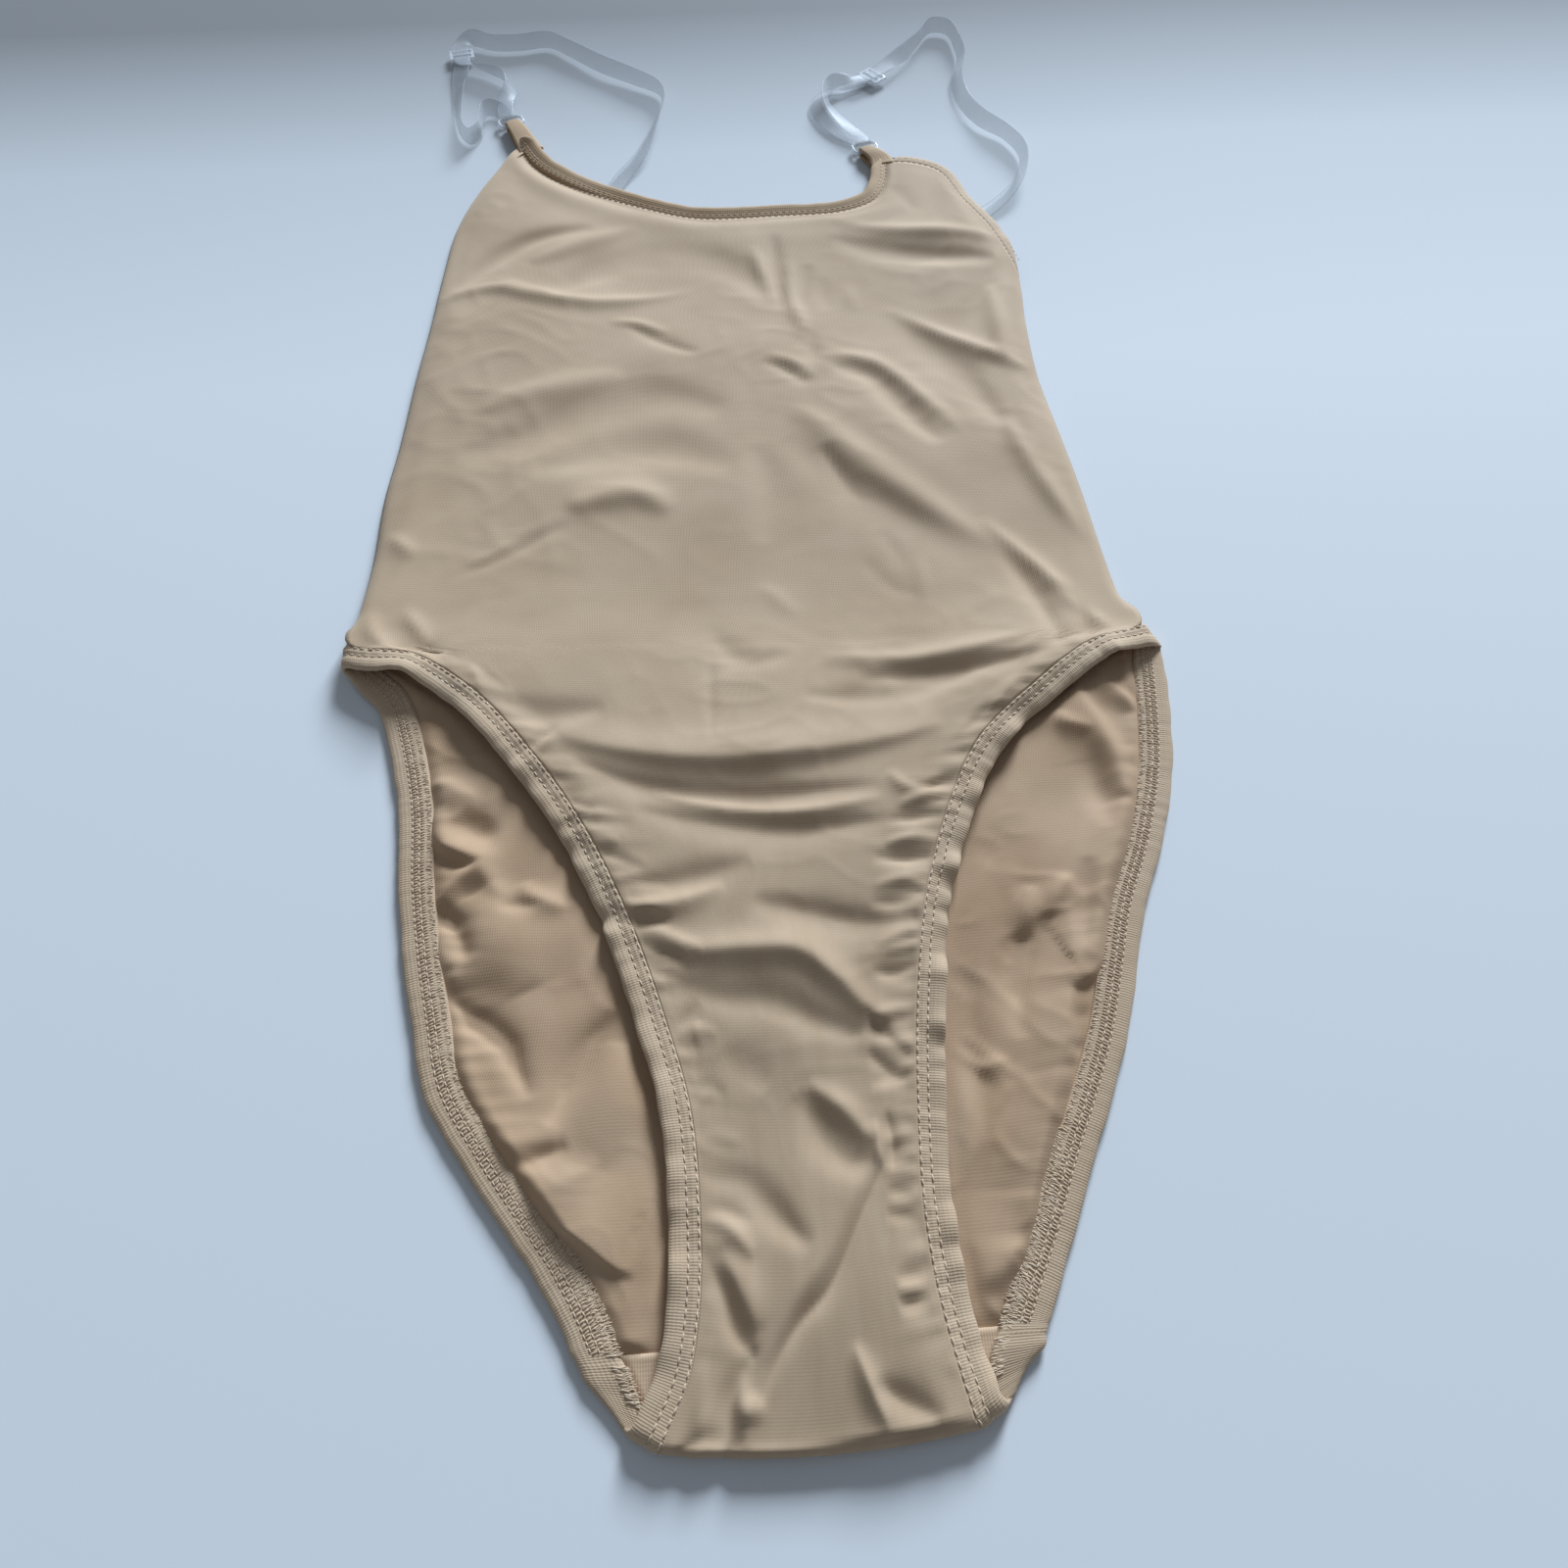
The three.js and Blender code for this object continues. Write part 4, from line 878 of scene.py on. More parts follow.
# How far a band leans to its own side at the hip, in front and behind, on the left (-1) and on the
# right (1), how far it stands out there, and the lengths over which its turn is softened
HIP_FRONT = -0.1
HIP_BACK = {-1: 0.1, 1: 1.0}
HIP_BULGE = {-1: 1.2, 1: 1.5}
HIP_EASE = 8.0
HIP_REACH = 18


def hip_way(side, spread):
    """The way out of the cloth at the hip: down the picture, and a little to the side."""
    return unit(np.array([side * spread, -1.0, 0.0]))


def eased(values, run, middle):
    """The values softened along the run, only round one place."""
    share = hump(run[:, None], run[None, :], HIP_EASE) * np.gradient(run)[None, :]
    soft = share @ values / share.sum(1, keepdims=True)
    return mix(values, soft, hump(run, middle, HIP_REACH)[:, None])


def leg_line(side):
    """Once round a leg, and the length of its front part.

    It goes from the crotch seam round the fold, up the front, over at the hip and down the back.
    """
    k, n = (0, 3) if side < 0 else (-1, -4)
    normals = surface_normals(FRONT)
    top = TOP_START + int(np.argmin(np.abs(FRONT_T - HIP)))
    edge, near = FRONT[:top + 1, k].copy(), FRONT[:top + 1, n]
    edge[:UNDER_ROWS, 2] += BACK_LIFT * np.linspace(1, 0, UNDER_ROWS)
    point, out, face = edge_line(edge, near, normals[:top + 1, k])
    run = lengths(point)
    # straight out at the crotch seam, a little up round the fold, and down the picture at the hip
    top_run = run[TOP_START]
    start = smooth((top_run + 10 - run) / 10)[:, None]
    end = smooth((run - run[-1] + 22) / 20)[:, None]
    lifted = np.stack([side + 0 * run, 0.62 * smooth(run / top_run * 1.4), 0 * run], axis=1)
    out = unit(out * (1 - start) + start * lifted)
    out = unit(out * (1 - end) + end * hip_way(side, HIP_FRONT))
    face = unit(face * (1 - end) + end * np.array([0, 0, 1]))
    back_t = int(np.argmin(np.abs(BACK_T - BACK_HIP)))
    back_edge, back_near = BACK[:back_t + 1, k].copy(), BACK[:back_t + 1, n].copy()
    back_edge[:, 2] = back_near[:, 2] = BACK_LIFT
    down = np.tile([0.0, 0.0, -1.0], (len(back_edge), 1))
    b_point, b_out, b_face = edge_line(back_edge, back_near, down)
    b_run = lengths(b_point)
    start = smooth(1 - b_run / 12)[:, None]
    end = smooth((b_run - b_run[-1] + 26) / 25)[:, None]
    b_out = unit(b_out * (1 - start) + start * np.array([side, 0, 0]))
    b_out = unit(b_out * (1 - end) + end * hip_way(side, HIP_BACK[side]))
    high, low = point[-1], b_point[-1]
    # half a turn over the hip, from the front's edge down to the back's
    middle, half = (high + low) / 2, (high - low) / 2
    radius = half[2]
    hip_point, hip_out, hip_face = [], [], []
    for angle in np.linspace(0, np.pi, 10)[1:-1]:
        way = np.array([side * math.sin(angle), 0, math.cos(angle)])
        bulge = np.array([side * HIP_BULGE[side] * radius * math.sin(angle), 0, 0])
        hip_point.append(middle + half * math.cos(angle) + bulge)
        hip_out.append(hip_way(side, mix(HIP_FRONT, HIP_BACK[side], angle / np.pi)))
        hip_face.append(way)
    every_point = np.vstack([point, hip_point, b_point[::-1][:-1]])
    every_run = lengths(every_point)
    hip_run = every_run[len(point) + len(hip_point) // 2]
    every_out = unit(eased(np.vstack([out, hip_out, b_out[::-1][:-1]]), every_run, hip_run))
    every_face = eased(np.vstack([face, hip_face, b_face[::-1][:-1]]), every_run, hip_run)
    square = unit(every_face - (every_face * every_out).sum(1, keepdims=True) * every_out)
    every_face = mix(unit(every_face), square, hump(every_run, hip_run, HIP_REACH)[:, None])
    return Line(
        eased(every_point, every_run, hip_run), every_out, unit(every_face), step=0.95, closed=True,
    ), run[-1]


STITCH_BATCH = 30


def threads(name, lines, finish, thick):
    """Short stitches, each a slim rounded thread from one place to another."""
    every = bmesh.new()
    for first in range(0, len(lines), STITCH_BATCH):
        few = bmesh.new()
        for start, end in lines[first: first + STITCH_BATCH]:
            a, b = Vector(metres(start)), Vector(metres(end))
            way = b - a
            turn = way.to_track_quat("Z", "Y").to_matrix().to_4x4()
            size = Matrix.Diagonal((thick / 1000, thick / 1000, way.length / 2, 1))
            bmesh.ops.create_uvsphere(
                few, u_segments=6, v_segments=4, radius=1,
                matrix=Matrix.Translation((a + b) / 2) @ turn @ size,
            )
        part = bpy.data.meshes.new("few stitches")
        few.to_mesh(part)
        few.free()
        every.from_mesh(part)
        bpy.data.meshes.remove(part)
    return finish_mesh(every, name, [finish])


def running_stitch(line, start, stop, out, up, seed, length, gap):
    draw = random.Random(seed)
    made, place = [], start
    while place + length < stop:
        side = draw.uniform(-0.12, 0.12)
        made.append((line.at(place, out + side, up), line.at(place + length, out - side, up)))
        place += length + gap + draw.uniform(-0.15, 0.2)
    return made


def stitch_rows(line, stop, rows, length=2.3, gap=0.9):
    """Rows of running stitches: start, how far out of the cloth, how high, seed."""
    made = []
    for start, out, up, seed in rows:
        made += running_stitch(line, start, stop, out, up, seed, length, gap)
    return made


def ladder(line, start, stop, inner, outer, up, seed, step=1.15):
    """A column of short bars across the band, as the looper threads lie."""
    draw = random.Random(seed)
    made, place = [], start
    while place + step < stop:
        lean = draw.uniform(0.1, 0.7)
        made.append((
            line.at(place, inner + draw.uniform(-0.15, 0.15), up),
            line.at(place + lean, outer + draw.uniform(-0.15, 0.15), up),
        ))
        place += step * draw.uniform(0.85, 1.15)
    return made


def overlock(line, start, stop, inner, outer, up, seed, step):
    """Loose loops of thread over a raw edge, uneven and a little fuzzy."""
    draw = random.Random(seed)
    made, place = [], start
    while place < stop:
        lean = draw.uniform(-0.9, 1.1)
        made.append((
            line.at(place, inner + draw.uniform(-0.7, 0.5), up + draw.uniform(-0.25, 0.1)),
            line.at(place + lean, outer + draw.uniform(-0.5, 0.7), up + draw.uniform(-0.1, 0.25)),
        ))
        place += step * draw.uniform(0.6, 1.3)
    return made


# Front and back


CLOTH_WIDTH = 300  # the knit is laid this wide across both layers


def laid_flat(u, run, width):
    """Flat places for the knit: across the cloth and along it."""
    return np.stack(np.meshgrid(run, (u - 0.5) * width, indexing="ij")[::-1], axis=2)


front = sheet_of_cloth(
    "front_cloth", FRONT, laid_flat(FRONT_U, FRONT_LAID, CLOTH_WIDTH), [OUTSIDE, INSIDE_SHADED],
    ["front_panel"],
)
back = sheet_of_cloth(
    "back_cloth", BACK, laid_flat(BACK_U, BACK_LAID, CLOTH_WIDTH), [INSIDE_SHADED, OUTSIDE],
    ["back_panel"],
)


def lining_form():
    """The strip inside the crotch, from the fold to the seam."""
    u = np.linspace(-1, 1, 31)
    v = np.linspace(0, 1, 15)
    uu, vv = np.meshgrid(u, v)
    half = mix(FOLD_HALF, BACK_ROWS[0][2], vv) + 1.0
    y = mix(FOLD_RADIUS + 0.8, SEAM_Y + 2.5, vv)
    z = 1.75 + ripples(uu * half, y, 12, 0.35, 5.0) + 0.35 * hump(vv, 1, 0.08)
    places = np.dstack([uu * half, y, z])
    return places, np.dstack([uu * half, y])


lining_places, lining_laid = lining_form()
lining = sheet_of_cloth("crotch_lining_cloth", lining_places, lining_laid, [LINED],
                        ["crotch_lining"], thickness=0.6)

# Edges

LEG_THREAD = 0.34
HEM_THREAD = 0.2
KNUCKLE = {-1: 0.05, 1: 0.22}
for side, word in ((-1, "left"), (1, "right")):
    line, front_length = leg_line(side)
    total = line.run[-1]
    # both bands are drawn up into a knuckle beside the crotch seam, the right one more
    casing(
        f"leg_band_{word}", line, LEG_PROFILE,
        [f"leg_band_front_{word}", f"leg_band_back_{word}"], seed=side * 3.3,
        wide=lambda run: 1 + KNUCKLE[side] * hump(
            np.minimum(np.abs(run - 4), total - run + 4), 0, 5),
    )
    rows = stitch_rows(line, total - 2, [(1, 0.6, 0.16, 41 + side), (2, 4.0, 0.02, 43 + side)])
    threads(f"leg_stitches_{word}", rows, THREAD, LEG_THREAD)
    back_from = front_length + 12
    looper = ladder(line, back_from, total - 2, 0.2, 1.9, -2.45, 51 + side)
    looper += ladder(line, back_from, total - 2, 2.5, 4.3, -2.4, 53 + side)
    looper += stitch_rows(
        line, total - 2, [(back_from, 4.6, -2.35, 55 + side), (back_from, 2.2, -2.45, 57 + side)],
        1.9, 0.5,
    )
    threads(f"leg_looper_{word}", looper, FUZZ, 0.27)
    # the overlock's loops are thickest beside the crotch seam, on both its sides
    fuzz = []
    for start, stop, inner, outer, up, seed, step in (
        (back_from, total - 1, -2.2, -0.4, -2.3, 61, 0.8),
        (total - 62, total - 1, -4.0, -1.6, -2.2, 65, 0.36),
        (total - 54, total - 1, -1.6, 0.8, -2.4, 67, 0.36),
        (0.5, 13, -4.0, -1.2, -2.5, 69, 0.36),
        (0.5, 11, -1.8, 0.8, -2.6, 71, 0.36),
    ):
        fuzz += overlock(line, start, stop, inner, outer, up, seed + side, step)
    threads(f"leg_overlock_{word}", fuzz, FUZZ, HEM_THREAD)

NECK_PROFILE = [
    (-0.8, -0.7), (0.0, -0.2), (1.2, 0.16), (2.4, -0.12), (4.0, 0.2), (5.8, 0.34), (7.2, 0.1),
    (8.0, -0.55), (8.0, -1.1), (7.4, -1.6), (5.6, -1.8), (2.0, -1.8), (-1.0, -1.6), (-1.4, -1.1),
]
HEM_PROFILE = [
    (-0.8, -0.7), (0.0, -0.15), (1.5, 0.12), (3.2, 0.1), (4.8, 0.06), (5.8, -0.4), (6.0, -0.9),
    (5.6, -1.4), (4.2, -1.6), (1.0, -1.6), (-1.0, -1.5), (-1.3, -1.0),
]


normals = surface_normals(FRONT)
point, out, face = edge_line(FRONT[-1], FRONT[-4], normals[-1])
run = lengths(point)
point = point + np.outer(1.5 * hump(run, 30, 34), [0, 0, 1])
# the band stands up a little, most at the left end, so that its rolled inner side shows
lean = 0.3 + 0.4 * smooth(1 - run / 60)[:, None]
face = unit(face + out * -lean)
out = unit(out - (out * face).sum(1, keepdims=True) * face)
neck_line = Line(point, out, face, step=1.0)
neck_band = casing(
    "neck_band_cloth", neck_line, NECK_PROFILE, ["neck_band"], seed=8.1, pucker=0.08,
    wide=lambda run: 0.45 + 0.55 * smooth(np.minimum(run, run[-1] - run) / 9), finish=NECK_EDGING_SHADED,
)
rows = stitch_rows(neck_line, neck_line.run[-1] - 1, [(2, 0.0, 0.06, 71), (3, 2.4, 0.06, 73)])
threads("neck_stitches", rows, THREAD, 0.22)

arm_from = TOP_START + int(np.argmin(np.abs(FRONT_T - UNDERARM)))
point, out, face = edge_line(FRONT[arm_from:, -1], FRONT[arm_from:, -4], normals[arm_from:, -1])
arm_line = Line(point, out, face, step=1.0)
arm_right = casing(
    "arm_hem_right", arm_line, HEM_PROFILE, ["arm_band_right"], seed=2.7, pucker=0.06,
    wide=lambda run: 0.03 + 0.97 * smooth(run / 34) * smooth((run[-1] - run + 3) / 12),
)
rows = stitch_rows(arm_line, arm_line.run[-1] - 1, [(10, 0.0, 0.06, 75), (11, 3.2, 0.06, 77)])
threads("arm_stitches_right", rows, THREAD, HEM_THREAD)

# the left armhole's hem starts a row higher and lies under the front
arm_from = TOP_START + int(np.argmin(np.abs(FRONT_T - (UNDERARM + 1))))
point, out, face = edge_line(FRONT[arm_from:-2, 0], FRONT[arm_from:-2, 3], normals[arm_from:-2, 0])
tucked = Line(point + out * -1.5 - face * (CLOTH + 0.15), -out, face, step=1.5)
arm_left = casing("arm_hem_left", tucked, [(a, 0.6 * h) for a, h in HEM_PROFILE],
                  ["arm_band_left"], seed=4.4, pucker=0.04)

back_normals = np.tile([0.0, 0.0, -1.0], (BACK.shape[1], 1))
back_top_edge = BACK[-1] - [0, 0, CLOTH]
point, out, face = edge_line(back_top_edge[2:-2], BACK[-3, 2:-2] - [0, 0, CLOTH], back_normals[2:-2])
back_line = Line(point + [0, 0, 0.25], out, face, step=1.5)
back_hem = casing(
    "back_top_hem", back_line, [(a * 1.25, 0.62 * h) for a, h in HEM_PROFILE],
    ["back_top_band"], seed=6.2, pucker=0.05,
    wide=lambda run: 0.1 + 0.9 * smooth(np.minimum(run, run[-1] - run) / 22),
)
rows = stitch_rows(back_line, back_line.run[-1] - 4, [(4, 0.4, -1.05, 81), (5, 3.6, -1.05, 83)])
threads("back_hem_stitches", rows, THREAD, HEM_THREAD)

# Tape, rings, sliders

TURN_STEPS = 12
TAPE_WIDTH = 9.0
TAPE_THICK = 0.5
RING = {"long": 15.0, "short": 9.0, "wire": 0.9, "corner": 2.2, "z": 2.35}
SLIDER = {"long": 14.0, "short": 10.0, "thick": 1.6, "bar": 1.8, "round": 0.42, "z": 1.7}
HARDWARE = {
    "left": {"ring": (-118, 654), "ring_turn": 113, "slider": (-150, 724), "slider_turn": 100},
    "right": {"ring": (76.5, 616), "ring_turn": 104, "slider": (88, 685), "slider_turn": 38},
}
TIPS = {"left": (-109.7, 634.3), "right": (79.6, 603.2)}
TAB_ASIDE = {"left": 0.0, "right": 3.4}
# Tape runs: x, y, height, and how far the tape leans from lying flat, in degrees
RUNS = {
    "left": [
        (-149.4, 720.4, 4.05, 0), (-150.4, 726, 4.05, 0), (-150.6, 731.5, 4.6, 0),
        (-144, 737, 5.4, 60), (-132, 731, 5.4, 80), (-116, 730, 5.4, 80), (-99, 732, 5.4, 80),
        (-86, 721, 5.4, 75), (-67, 703, 5.4, 60), (-50, 690, 5.4, 75), (-35, 677, 5.4, 90),
        (-33, 664, 5.4, 70), (-39, 640, 4.2, 50), (-46, 618, 2.6, 20), (-56, 600, 0.9, 0),
        (-65, 582, 0.8, 0), (-72, 567, 0.8, 0), (-77.2, 554.9, 0.8, 0),
    ],
    "right": [
        (85.6, 683.1, 4.05, 0), (88, 685, 4.05, 0), (97, 692, 4.7, 10), (108, 703, 5.4, 55),
        (118, 717, 5.4, 85), (128, 732, 5.4, 85), (137, 730, 5.4, 85), (141, 712, 5.4, 75),
        (141, 697, 5.4, 60), (136, 678, 5.0, 45), (136, 658, 4.6, 40), (143, 636, 5.2, 60),
        (155, 620, 5.4, 85), (161, 602, 5.4, 75), (155, 580, 4.0, 45), (143, 564, 2.1, 14),
        (130, 554, 0.8, 0), (119, 551, 0.8, 0), (109.5, 547, 0.8, 0),
    ],
}
UPPER_LOOPS = {
    "left": [
        (-121, 672, 4.6, 15), (-119, 683, 5.4, 50), (-123, 694, 6.0, 75), (-134, 703, 5.6, 60),
        (-147, 711, 4.5, 15), (-149.2, 719.2, 4.05, 0),
    ],
    "right": [
        (68, 634, 4.6, 10), (61, 650, 5.2, 30), (59, 664, 5.6, 60), (64, 675, 5.6, 60),
        (76, 676.4, 4.6, 15), (84.6, 682.3, 4.05, 0),
    ],
}
LOWER_LOOPS = {
    "left": [
        (-126, 666, 3.4, -35), (-132, 664, 5.2, -80), (-134, 654, 5.2, -85), (-134, 643, 5.2, -85),
        (-139, 637, 5.2, -85), (-144, 644, 5.0, -75), (-147, 662, 4.6, -55), (-149, 684, 3.4, -35),
        (-150, 702, 1.8, -12), (-150, 714, 0.8, 0), (-150, 724, 0.8, 0),
    ],
    "right": [
        (64, 633, 1.2, 0), (56, 645, 2.4, -20), (53, 657, 3.0, -30), (58, 668, 2.4, -20),
        (69, 675, 1.2, 0), (87, 684.4, 0.8, 0),
    ],
}


def heading(degrees):
    return np.array([math.cos(math.radians(degrees)), math.sin(math.radians(degrees)), 0.0])


def run_stations(rows):
    """Places along a run of tape, and the way across it at each."""
    t = np.linspace(0, len(rows) - 1, (len(rows) - 1) * 9 + 1)
    table = np.array(rows, float)
    point = spline(table[:, :3], t)
    lean = np.radians(spline(table[:, 3:4], t)[:, 0])
    tangent = unit(np.gradient(point, axis=0))
    level = unit(np.stack([-tangent[:, 1], tangent[:, 0], np.zeros(len(t))], axis=1))
    up = np.cross(tangent, level)
    across = level * np.cos(lean)[:, None] + up * np.sin(lean)[:, None]
    return point, across


def turn_stations(bar, away, radius):
    """Half a turn round a ring's bar."""
    angle = np.linspace(-np.pi / 2, np.pi / 2, TURN_STEPS + 1)
    point = bar - np.outer(radius * np.cos(angle), away) + np.outer(radius * np.sin(angle), [0, 0, 1])
    return point, np.tile([-away[1], away[0], 0], (TURN_STEPS + 1, 1))


def ribbon(name, point, across, width, thick, finish, replaces, curl=0.25):
    """A flat band through its stations, a little dished across its width."""
    widths = np.zeros(len(point)) + width
    shares = np.linspace(-0.5, 0.5, 9)
    normal = unit(np.cross(np.gradient(point, axis=0), across))
    dish = curl * (1 - (2 * shares) ** 2)
    places = (
        point[:, None] + across[:, None] * (np.outer(widths, shares))[:, :, None]
        + normal[:, None] * dish[None, :, None]
    )
    run = lengths(point)
    laid = np.stack(np.meshgrid(run, shares * widths.mean(), indexing="ij"), axis=2)
    piece = finish_mesh(place_grid(places, laid), name, [finish], replaces)
    thicken(piece, thick, 0)
    return piece


def ring_bar(side, sign):
    """One of a ring's two long bars, and the way from the cloth to the tape."""
    place = HARDWARE[side]
    away = heading(place["ring_turn"])
    bar = np.array([*place["ring"], RING["z"]])
    return bar + away * sign * (RING["short"] / 2 - RING["wire"]), away


def strap_loop(side):
    """The doubled tape from the slider round the ring's far bar and back."""
    bar, away = ring_bar(side, 1)
    radius = RING["wire"] + 0.75
    start = [(*(bar + away * step)[:2], 0) for step in (0, 3)]
    upper = [(x, y, RING["z"] + radius, 0) for x, y, _ in start] + UPPER_LOOPS[side]
    lower = [(x, y, RING["z"] - radius, 0) for x, y, _ in start] + LOWER_LOOPS[side]
    up_point, up_across = run_stations(upper)
    low_point, low_across = run_stations(lower)
    turn_point, turn_across = turn_stations(bar, away, radius)
    point = np.vstack([low_point[::-1], turn_point[1:-1], up_point])
    across = np.vstack([low_across[::-1], turn_across[1:-1], up_across])
    return ribbon(f"strap_loop_{side}_tape", point, across, TAPE_WIDTH, TAPE_THICK, TAPE,
                  [f"strap_loop_{side}"])


def tab(side):
    """The cloth end of the front, round the ring's near bar."""
    bar, away = ring_bar(side, -1)
    back = -away
    tip = np.array([*TIPS[side], 0.0])
    radius = RING["wire"] + 0.8
    reach = np.linalg.norm(tip - bar * [1, 1, 0])
    turn_point, turn_across = turn_stations(bar, back, radius)
    def leg(up, shares):
        point = bar + np.outer(np.array(shares) * reach, back)
        point += np.outer(TAB_ASIDE[side] * smooth(np.array(shares) / 1.2), turn_across[0])
        point[:, 2] = up
        return point
    shares = np.linspace(0.12, 1.7, 13)
    low = leg(RING["z"] - radius, shares[::-1])
    high = leg(RING["z"] + radius, shares)
    high[:, 2] += 0.5 * np.sin(shares * np.pi)
    point = np.vstack([low, turn_point, high])
    across = np.tile(turn_across[0], (len(point), 1))
    widths = np.concatenate([8 + 3 * shares[::-1], np.full(len(turn_point), 8), 8 + 3 * shares])
    return ribbon(f"tab_{side}_cloth", point, across, widths, 1.0, NECK_EDGING_SHADED,
                  [f"tab_{side}"], curl=0.5)


def ring(side):
    """A round wire bent to an oblong with rounded corners."""
    place = HARDWARE[side]
    corner = RING["corner"]
    half = [RING["short"] / 2 - RING["wire"] - corner, RING["long"] / 2 - RING["wire"] - corner]
    centre, way = [], []
    for sx, sy, start in ((1, 1, 0), (-1, 1, 90), (-1, -1, 180), (1, -1, 270)):
        for step in range(0, 91, 15):
            turn = heading(start + step)
            centre.append(np.array([sx * half[0], sy * half[1], 0]) + turn * corner)
            way.append(turn)
    around = np.linspace(0, 2 * np.pi, 13)[:-1]
    rings = np.array([
        [c + RING["wire"] * (w * math.cos(a) + np.array([0, 0, math.sin(a)])) for a in around]
        for c, w in zip(centre, way)
    ])
    turn = math.radians(place["ring_turn"])
    spun = np.array([
        [math.cos(turn), math.sin(turn), 0], [-math.sin(turn), math.cos(turn), 0], [0, 0, 1],
    ])
    rings = rings @ spun + np.array([*place["ring"], RING["z"]])
    laid = np.stack(np.meshgrid(np.arange(len(rings)), around, indexing="ij"), axis=2)
    return tube(f"ring_{side}_clear", rings, laid, [CLEAR], [f"ring_{side}"], True)


def slider(side):
    """A flat frame with a bar across its middle, its corners and edges rounded."""
    place = HARDWARE[side]
    half_long, half_short, bar = SLIDER["long"] / 2, SLIDER["short"] / 2, SLIDER["bar"]
    xs = [-half_short, -half_short + bar, -bar / 2, bar / 2, half_short - bar, half_short]
    ys = [-half_long, -half_long + bar, half_long - bar, half_long]
    bm = bmesh.new()
    bmesh.ops.create_grid(bm, x_segments=5, y_segments=3, size=1)
    for vert in bm.verts:
        i = int(round((vert.co.x + 1) / 2 * 5))
        j = int(round((vert.co.y + 1) / 2 * 3))
        vert.co = (xs[i], ys[j], 0)
    holes = []
    for face in bm.faces:
        middle = face.calc_center_median()
        if abs(middle.y) < 1 and bar / 2 < abs(middle.x) < half_short - bar:
            holes.append(face)
    bmesh.ops.delete(bm, geom=holes, context="FACES")
    bmesh.ops.solidify(bm, geom=bm.faces[:], thickness=SLIDER["thick"])
    bmesh.ops.recalc_face_normals(bm, faces=bm.faces)
    sharp = [e for e in bm.edges if e.calc_face_angle(0) > 0.5]
    bmesh.ops.bevel(bm, geom=sharp, offset=SLIDER["round"], segments=3, profile=0.5,
                    affect="EDGES", material=-1)
    low = min(v.co.z for v in bm.verts)
    bmesh.ops.translate(bm, verts=bm.verts, vec=(0, 0, SLIDER["z"] - low))
    turn = Matrix.Rotation(math.radians(place["slider_turn"]), 3, "Z")
    bmesh.ops.rotate(bm, verts=bm.verts, matrix=turn)
    bmesh.ops.translate(bm, verts=bm.verts, vec=(*place["slider"], 0))
    for vert in bm.verts:
        vert.co = metres(vert.co)
    return finish_mesh(bm, f"slider_{side}_clear", [CLEAR], [f"slider_{side}"])


for word in ("left", "right"):
    strap_loop(word)
    tab(word)
    ring(word)
    slider(word)
    point, across = run_stations(RUNS[word])
    ribbon(f"strap_{word}_tape", point, across, TAPE_WIDTH, TAPE_THICK, TAPE,
           [f"strap_{word}"])

# Table, light and camera


# Painted shade on the table: its colour darkens up the picture, where less light falls
TABLE_SHADE_SPAN = (0.08, 0.40)  # from here to here up the picture, in metres
TABLE_SHADE_TONES = [
    (0.0, (0.70, 0.715, 0.725)), (0.55, (0.57, 0.585, 0.595)), (1.0, (0.24, 0.24, 0.24)),
]


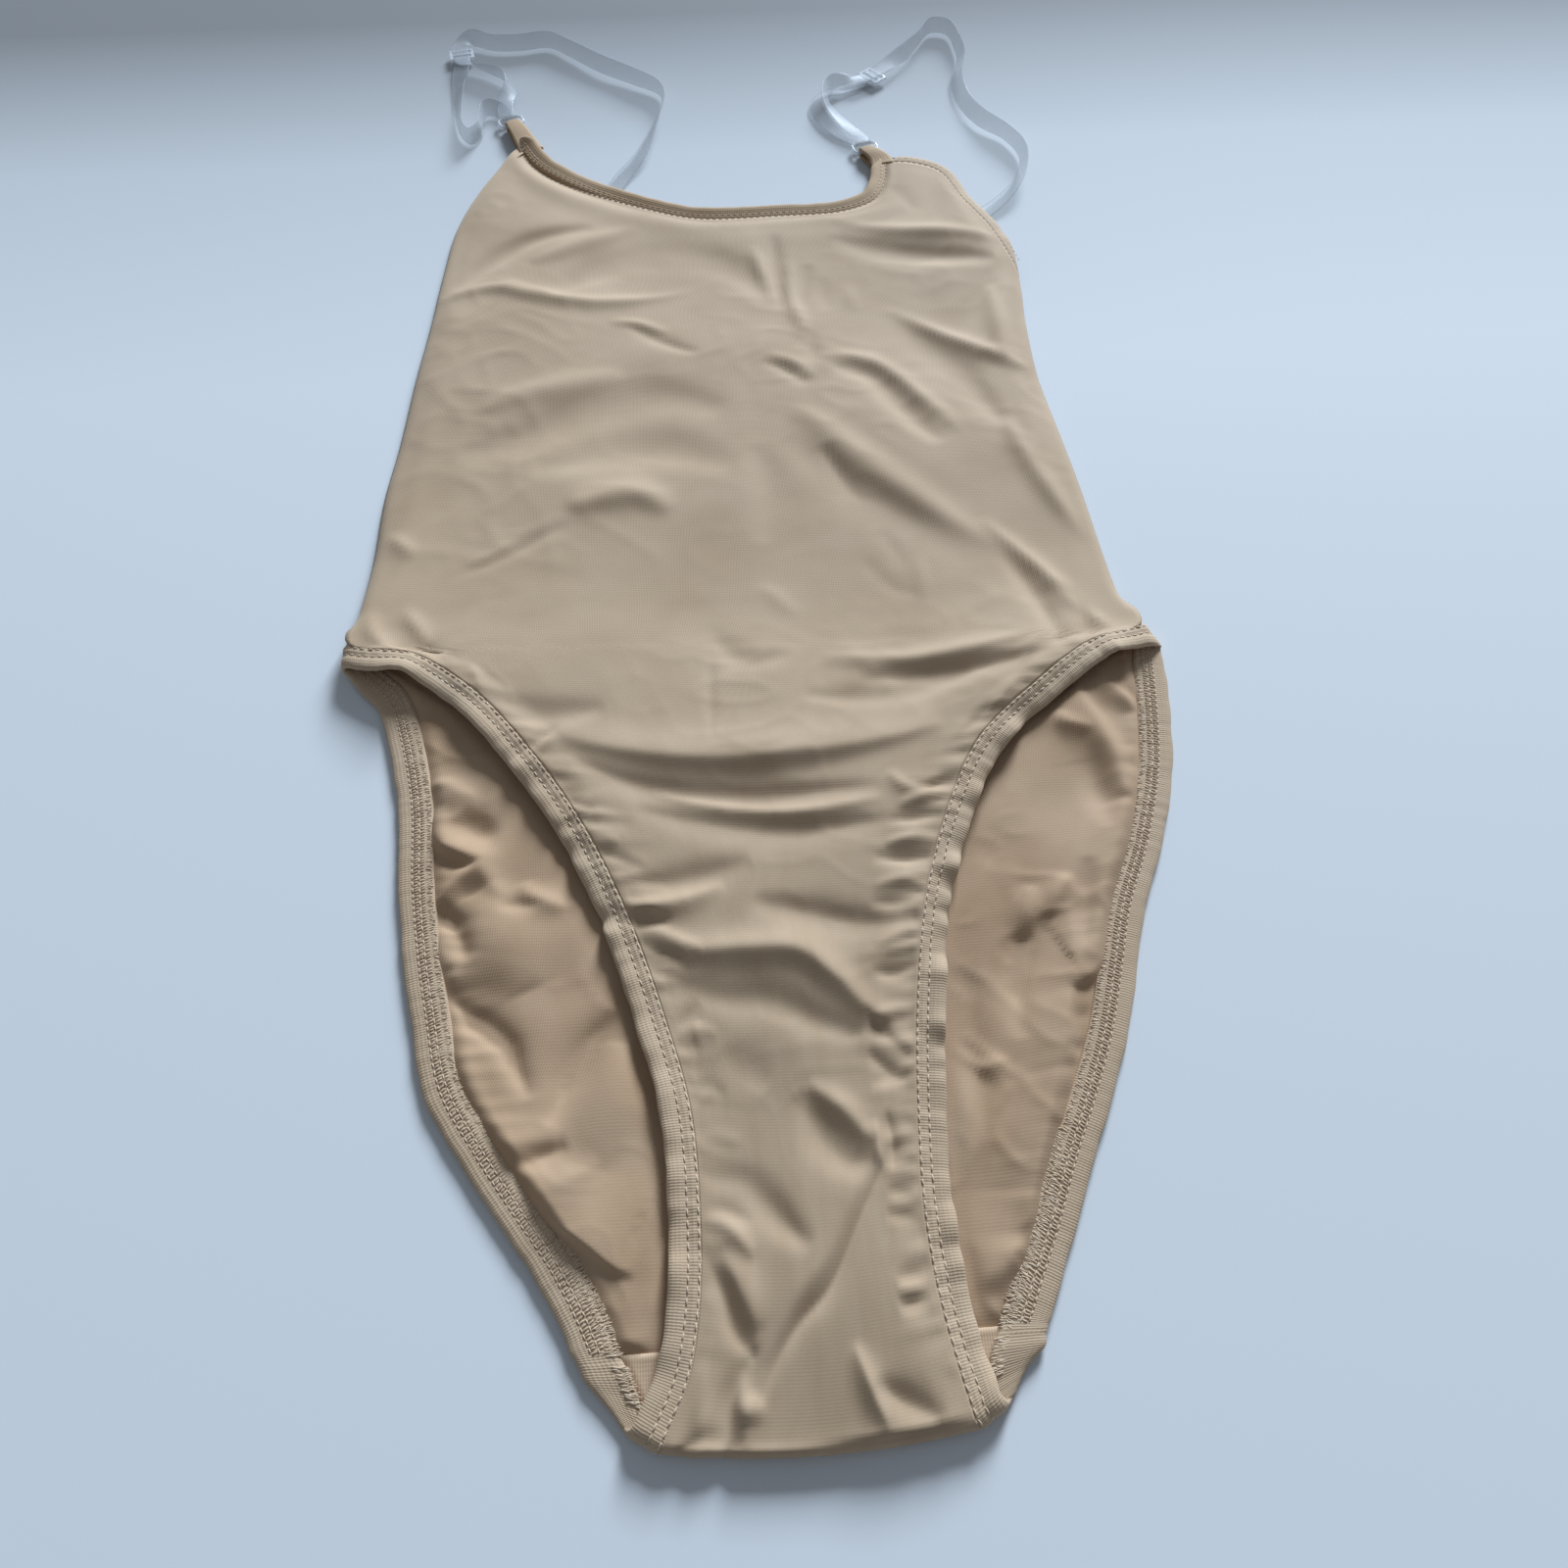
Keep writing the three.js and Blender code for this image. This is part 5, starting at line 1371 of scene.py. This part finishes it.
def table_finish(name):
    """A plain pale top with painted shade that gets darker up the picture, where less light falls."""
    finish, tree, shader = new_finish(name, {"Roughness": 0.8, "Specular IOR Level": 0.15})
    where = node(tree, "ShaderNodeTexCoord", (-900, 0))
    parts = node(tree, "ShaderNodeSeparateXYZ", (-700, 0))
    tree.links.new(where.outputs["Object"], parts.inputs["Vector"])
    depth = node(tree, "ShaderNodeMapRange", (-500, 0))
    depth.inputs["From Min"].default_value, depth.inputs["From Max"].default_value = TABLE_SHADE_SPAN
    tree.links.new(parts.outputs["Y"], depth.inputs["Value"])
    colour_ramp(tree, shader, depth.outputs["Result"], (-250, 0), TABLE_SHADE_TONES)
    return finish


bm = bmesh.new()
bmesh.ops.create_grid(bm, x_segments=4, y_segments=4, size=4)
mesh = bpy.data.meshes.new("table")
bm.to_mesh(mesh)
bm.free()
table = new_object("table", mesh)
mesh.materials.append(table_finish("pale table with painted shade"))

bpy.context.scene.view_settings.view_transform = "Standard"
world = bpy.data.worlds.new("soft room")
bpy.context.scene.world = world
world.use_nodes = True
room = world.node_tree.nodes["Background"].inputs
room["Color"].default_value = (0.84, 0.96, 1.12, 1)
room["Strength"].default_value = 0.235


def soft_light(name, place, aim, size, power, colour):
    lamp = bpy.data.lights.new(name, "AREA")
    lamp.shape = "SQUARE"
    lamp.size = size
    lamp.energy = power
    lamp.color = colour
    made = new_object(name, lamp)
    made.location = place
    made.rotation_euler = (Vector(aim) - Vector(place)).to_track_quat("-Z", "Y").to_euler()


soft_light("window", (2.2, 5.6, 2.7), aim=(0, 0, 0), size=2.1, power=760, colour=(0.83, 0.97, 1.14))

# The photo's own camera: focal length and picture side in its pixels, its tilt and turn, and its
# place in the part's millimetres
PHOTO_FOCAL = 1202.0
PHOTO_SIDE = 1600.0
SENSOR = 36.0
DOWN = math.radians(59.54)
ASIDE = math.radians(4.0)
CAMERA_PLACE = (-11.4, -7.2, 382.0)
lens = bpy.data.cameras.new("photo camera")
lens.sensor_width = SENSOR
lens.lens = SENSOR * PHOTO_FOCAL / PHOTO_SIDE
lens.clip_start = 0.01
camera = new_object("photo camera", lens)
camera.location = metres(CAMERA_PLACE)
look = Vector((math.sin(ASIDE) * math.cos(DOWN), math.cos(ASIDE) * math.cos(DOWN), -math.sin(DOWN)))
camera.rotation_euler = look.to_track_quat("-Z", "Y").to_euler()
bpy.context.scene.camera = camera
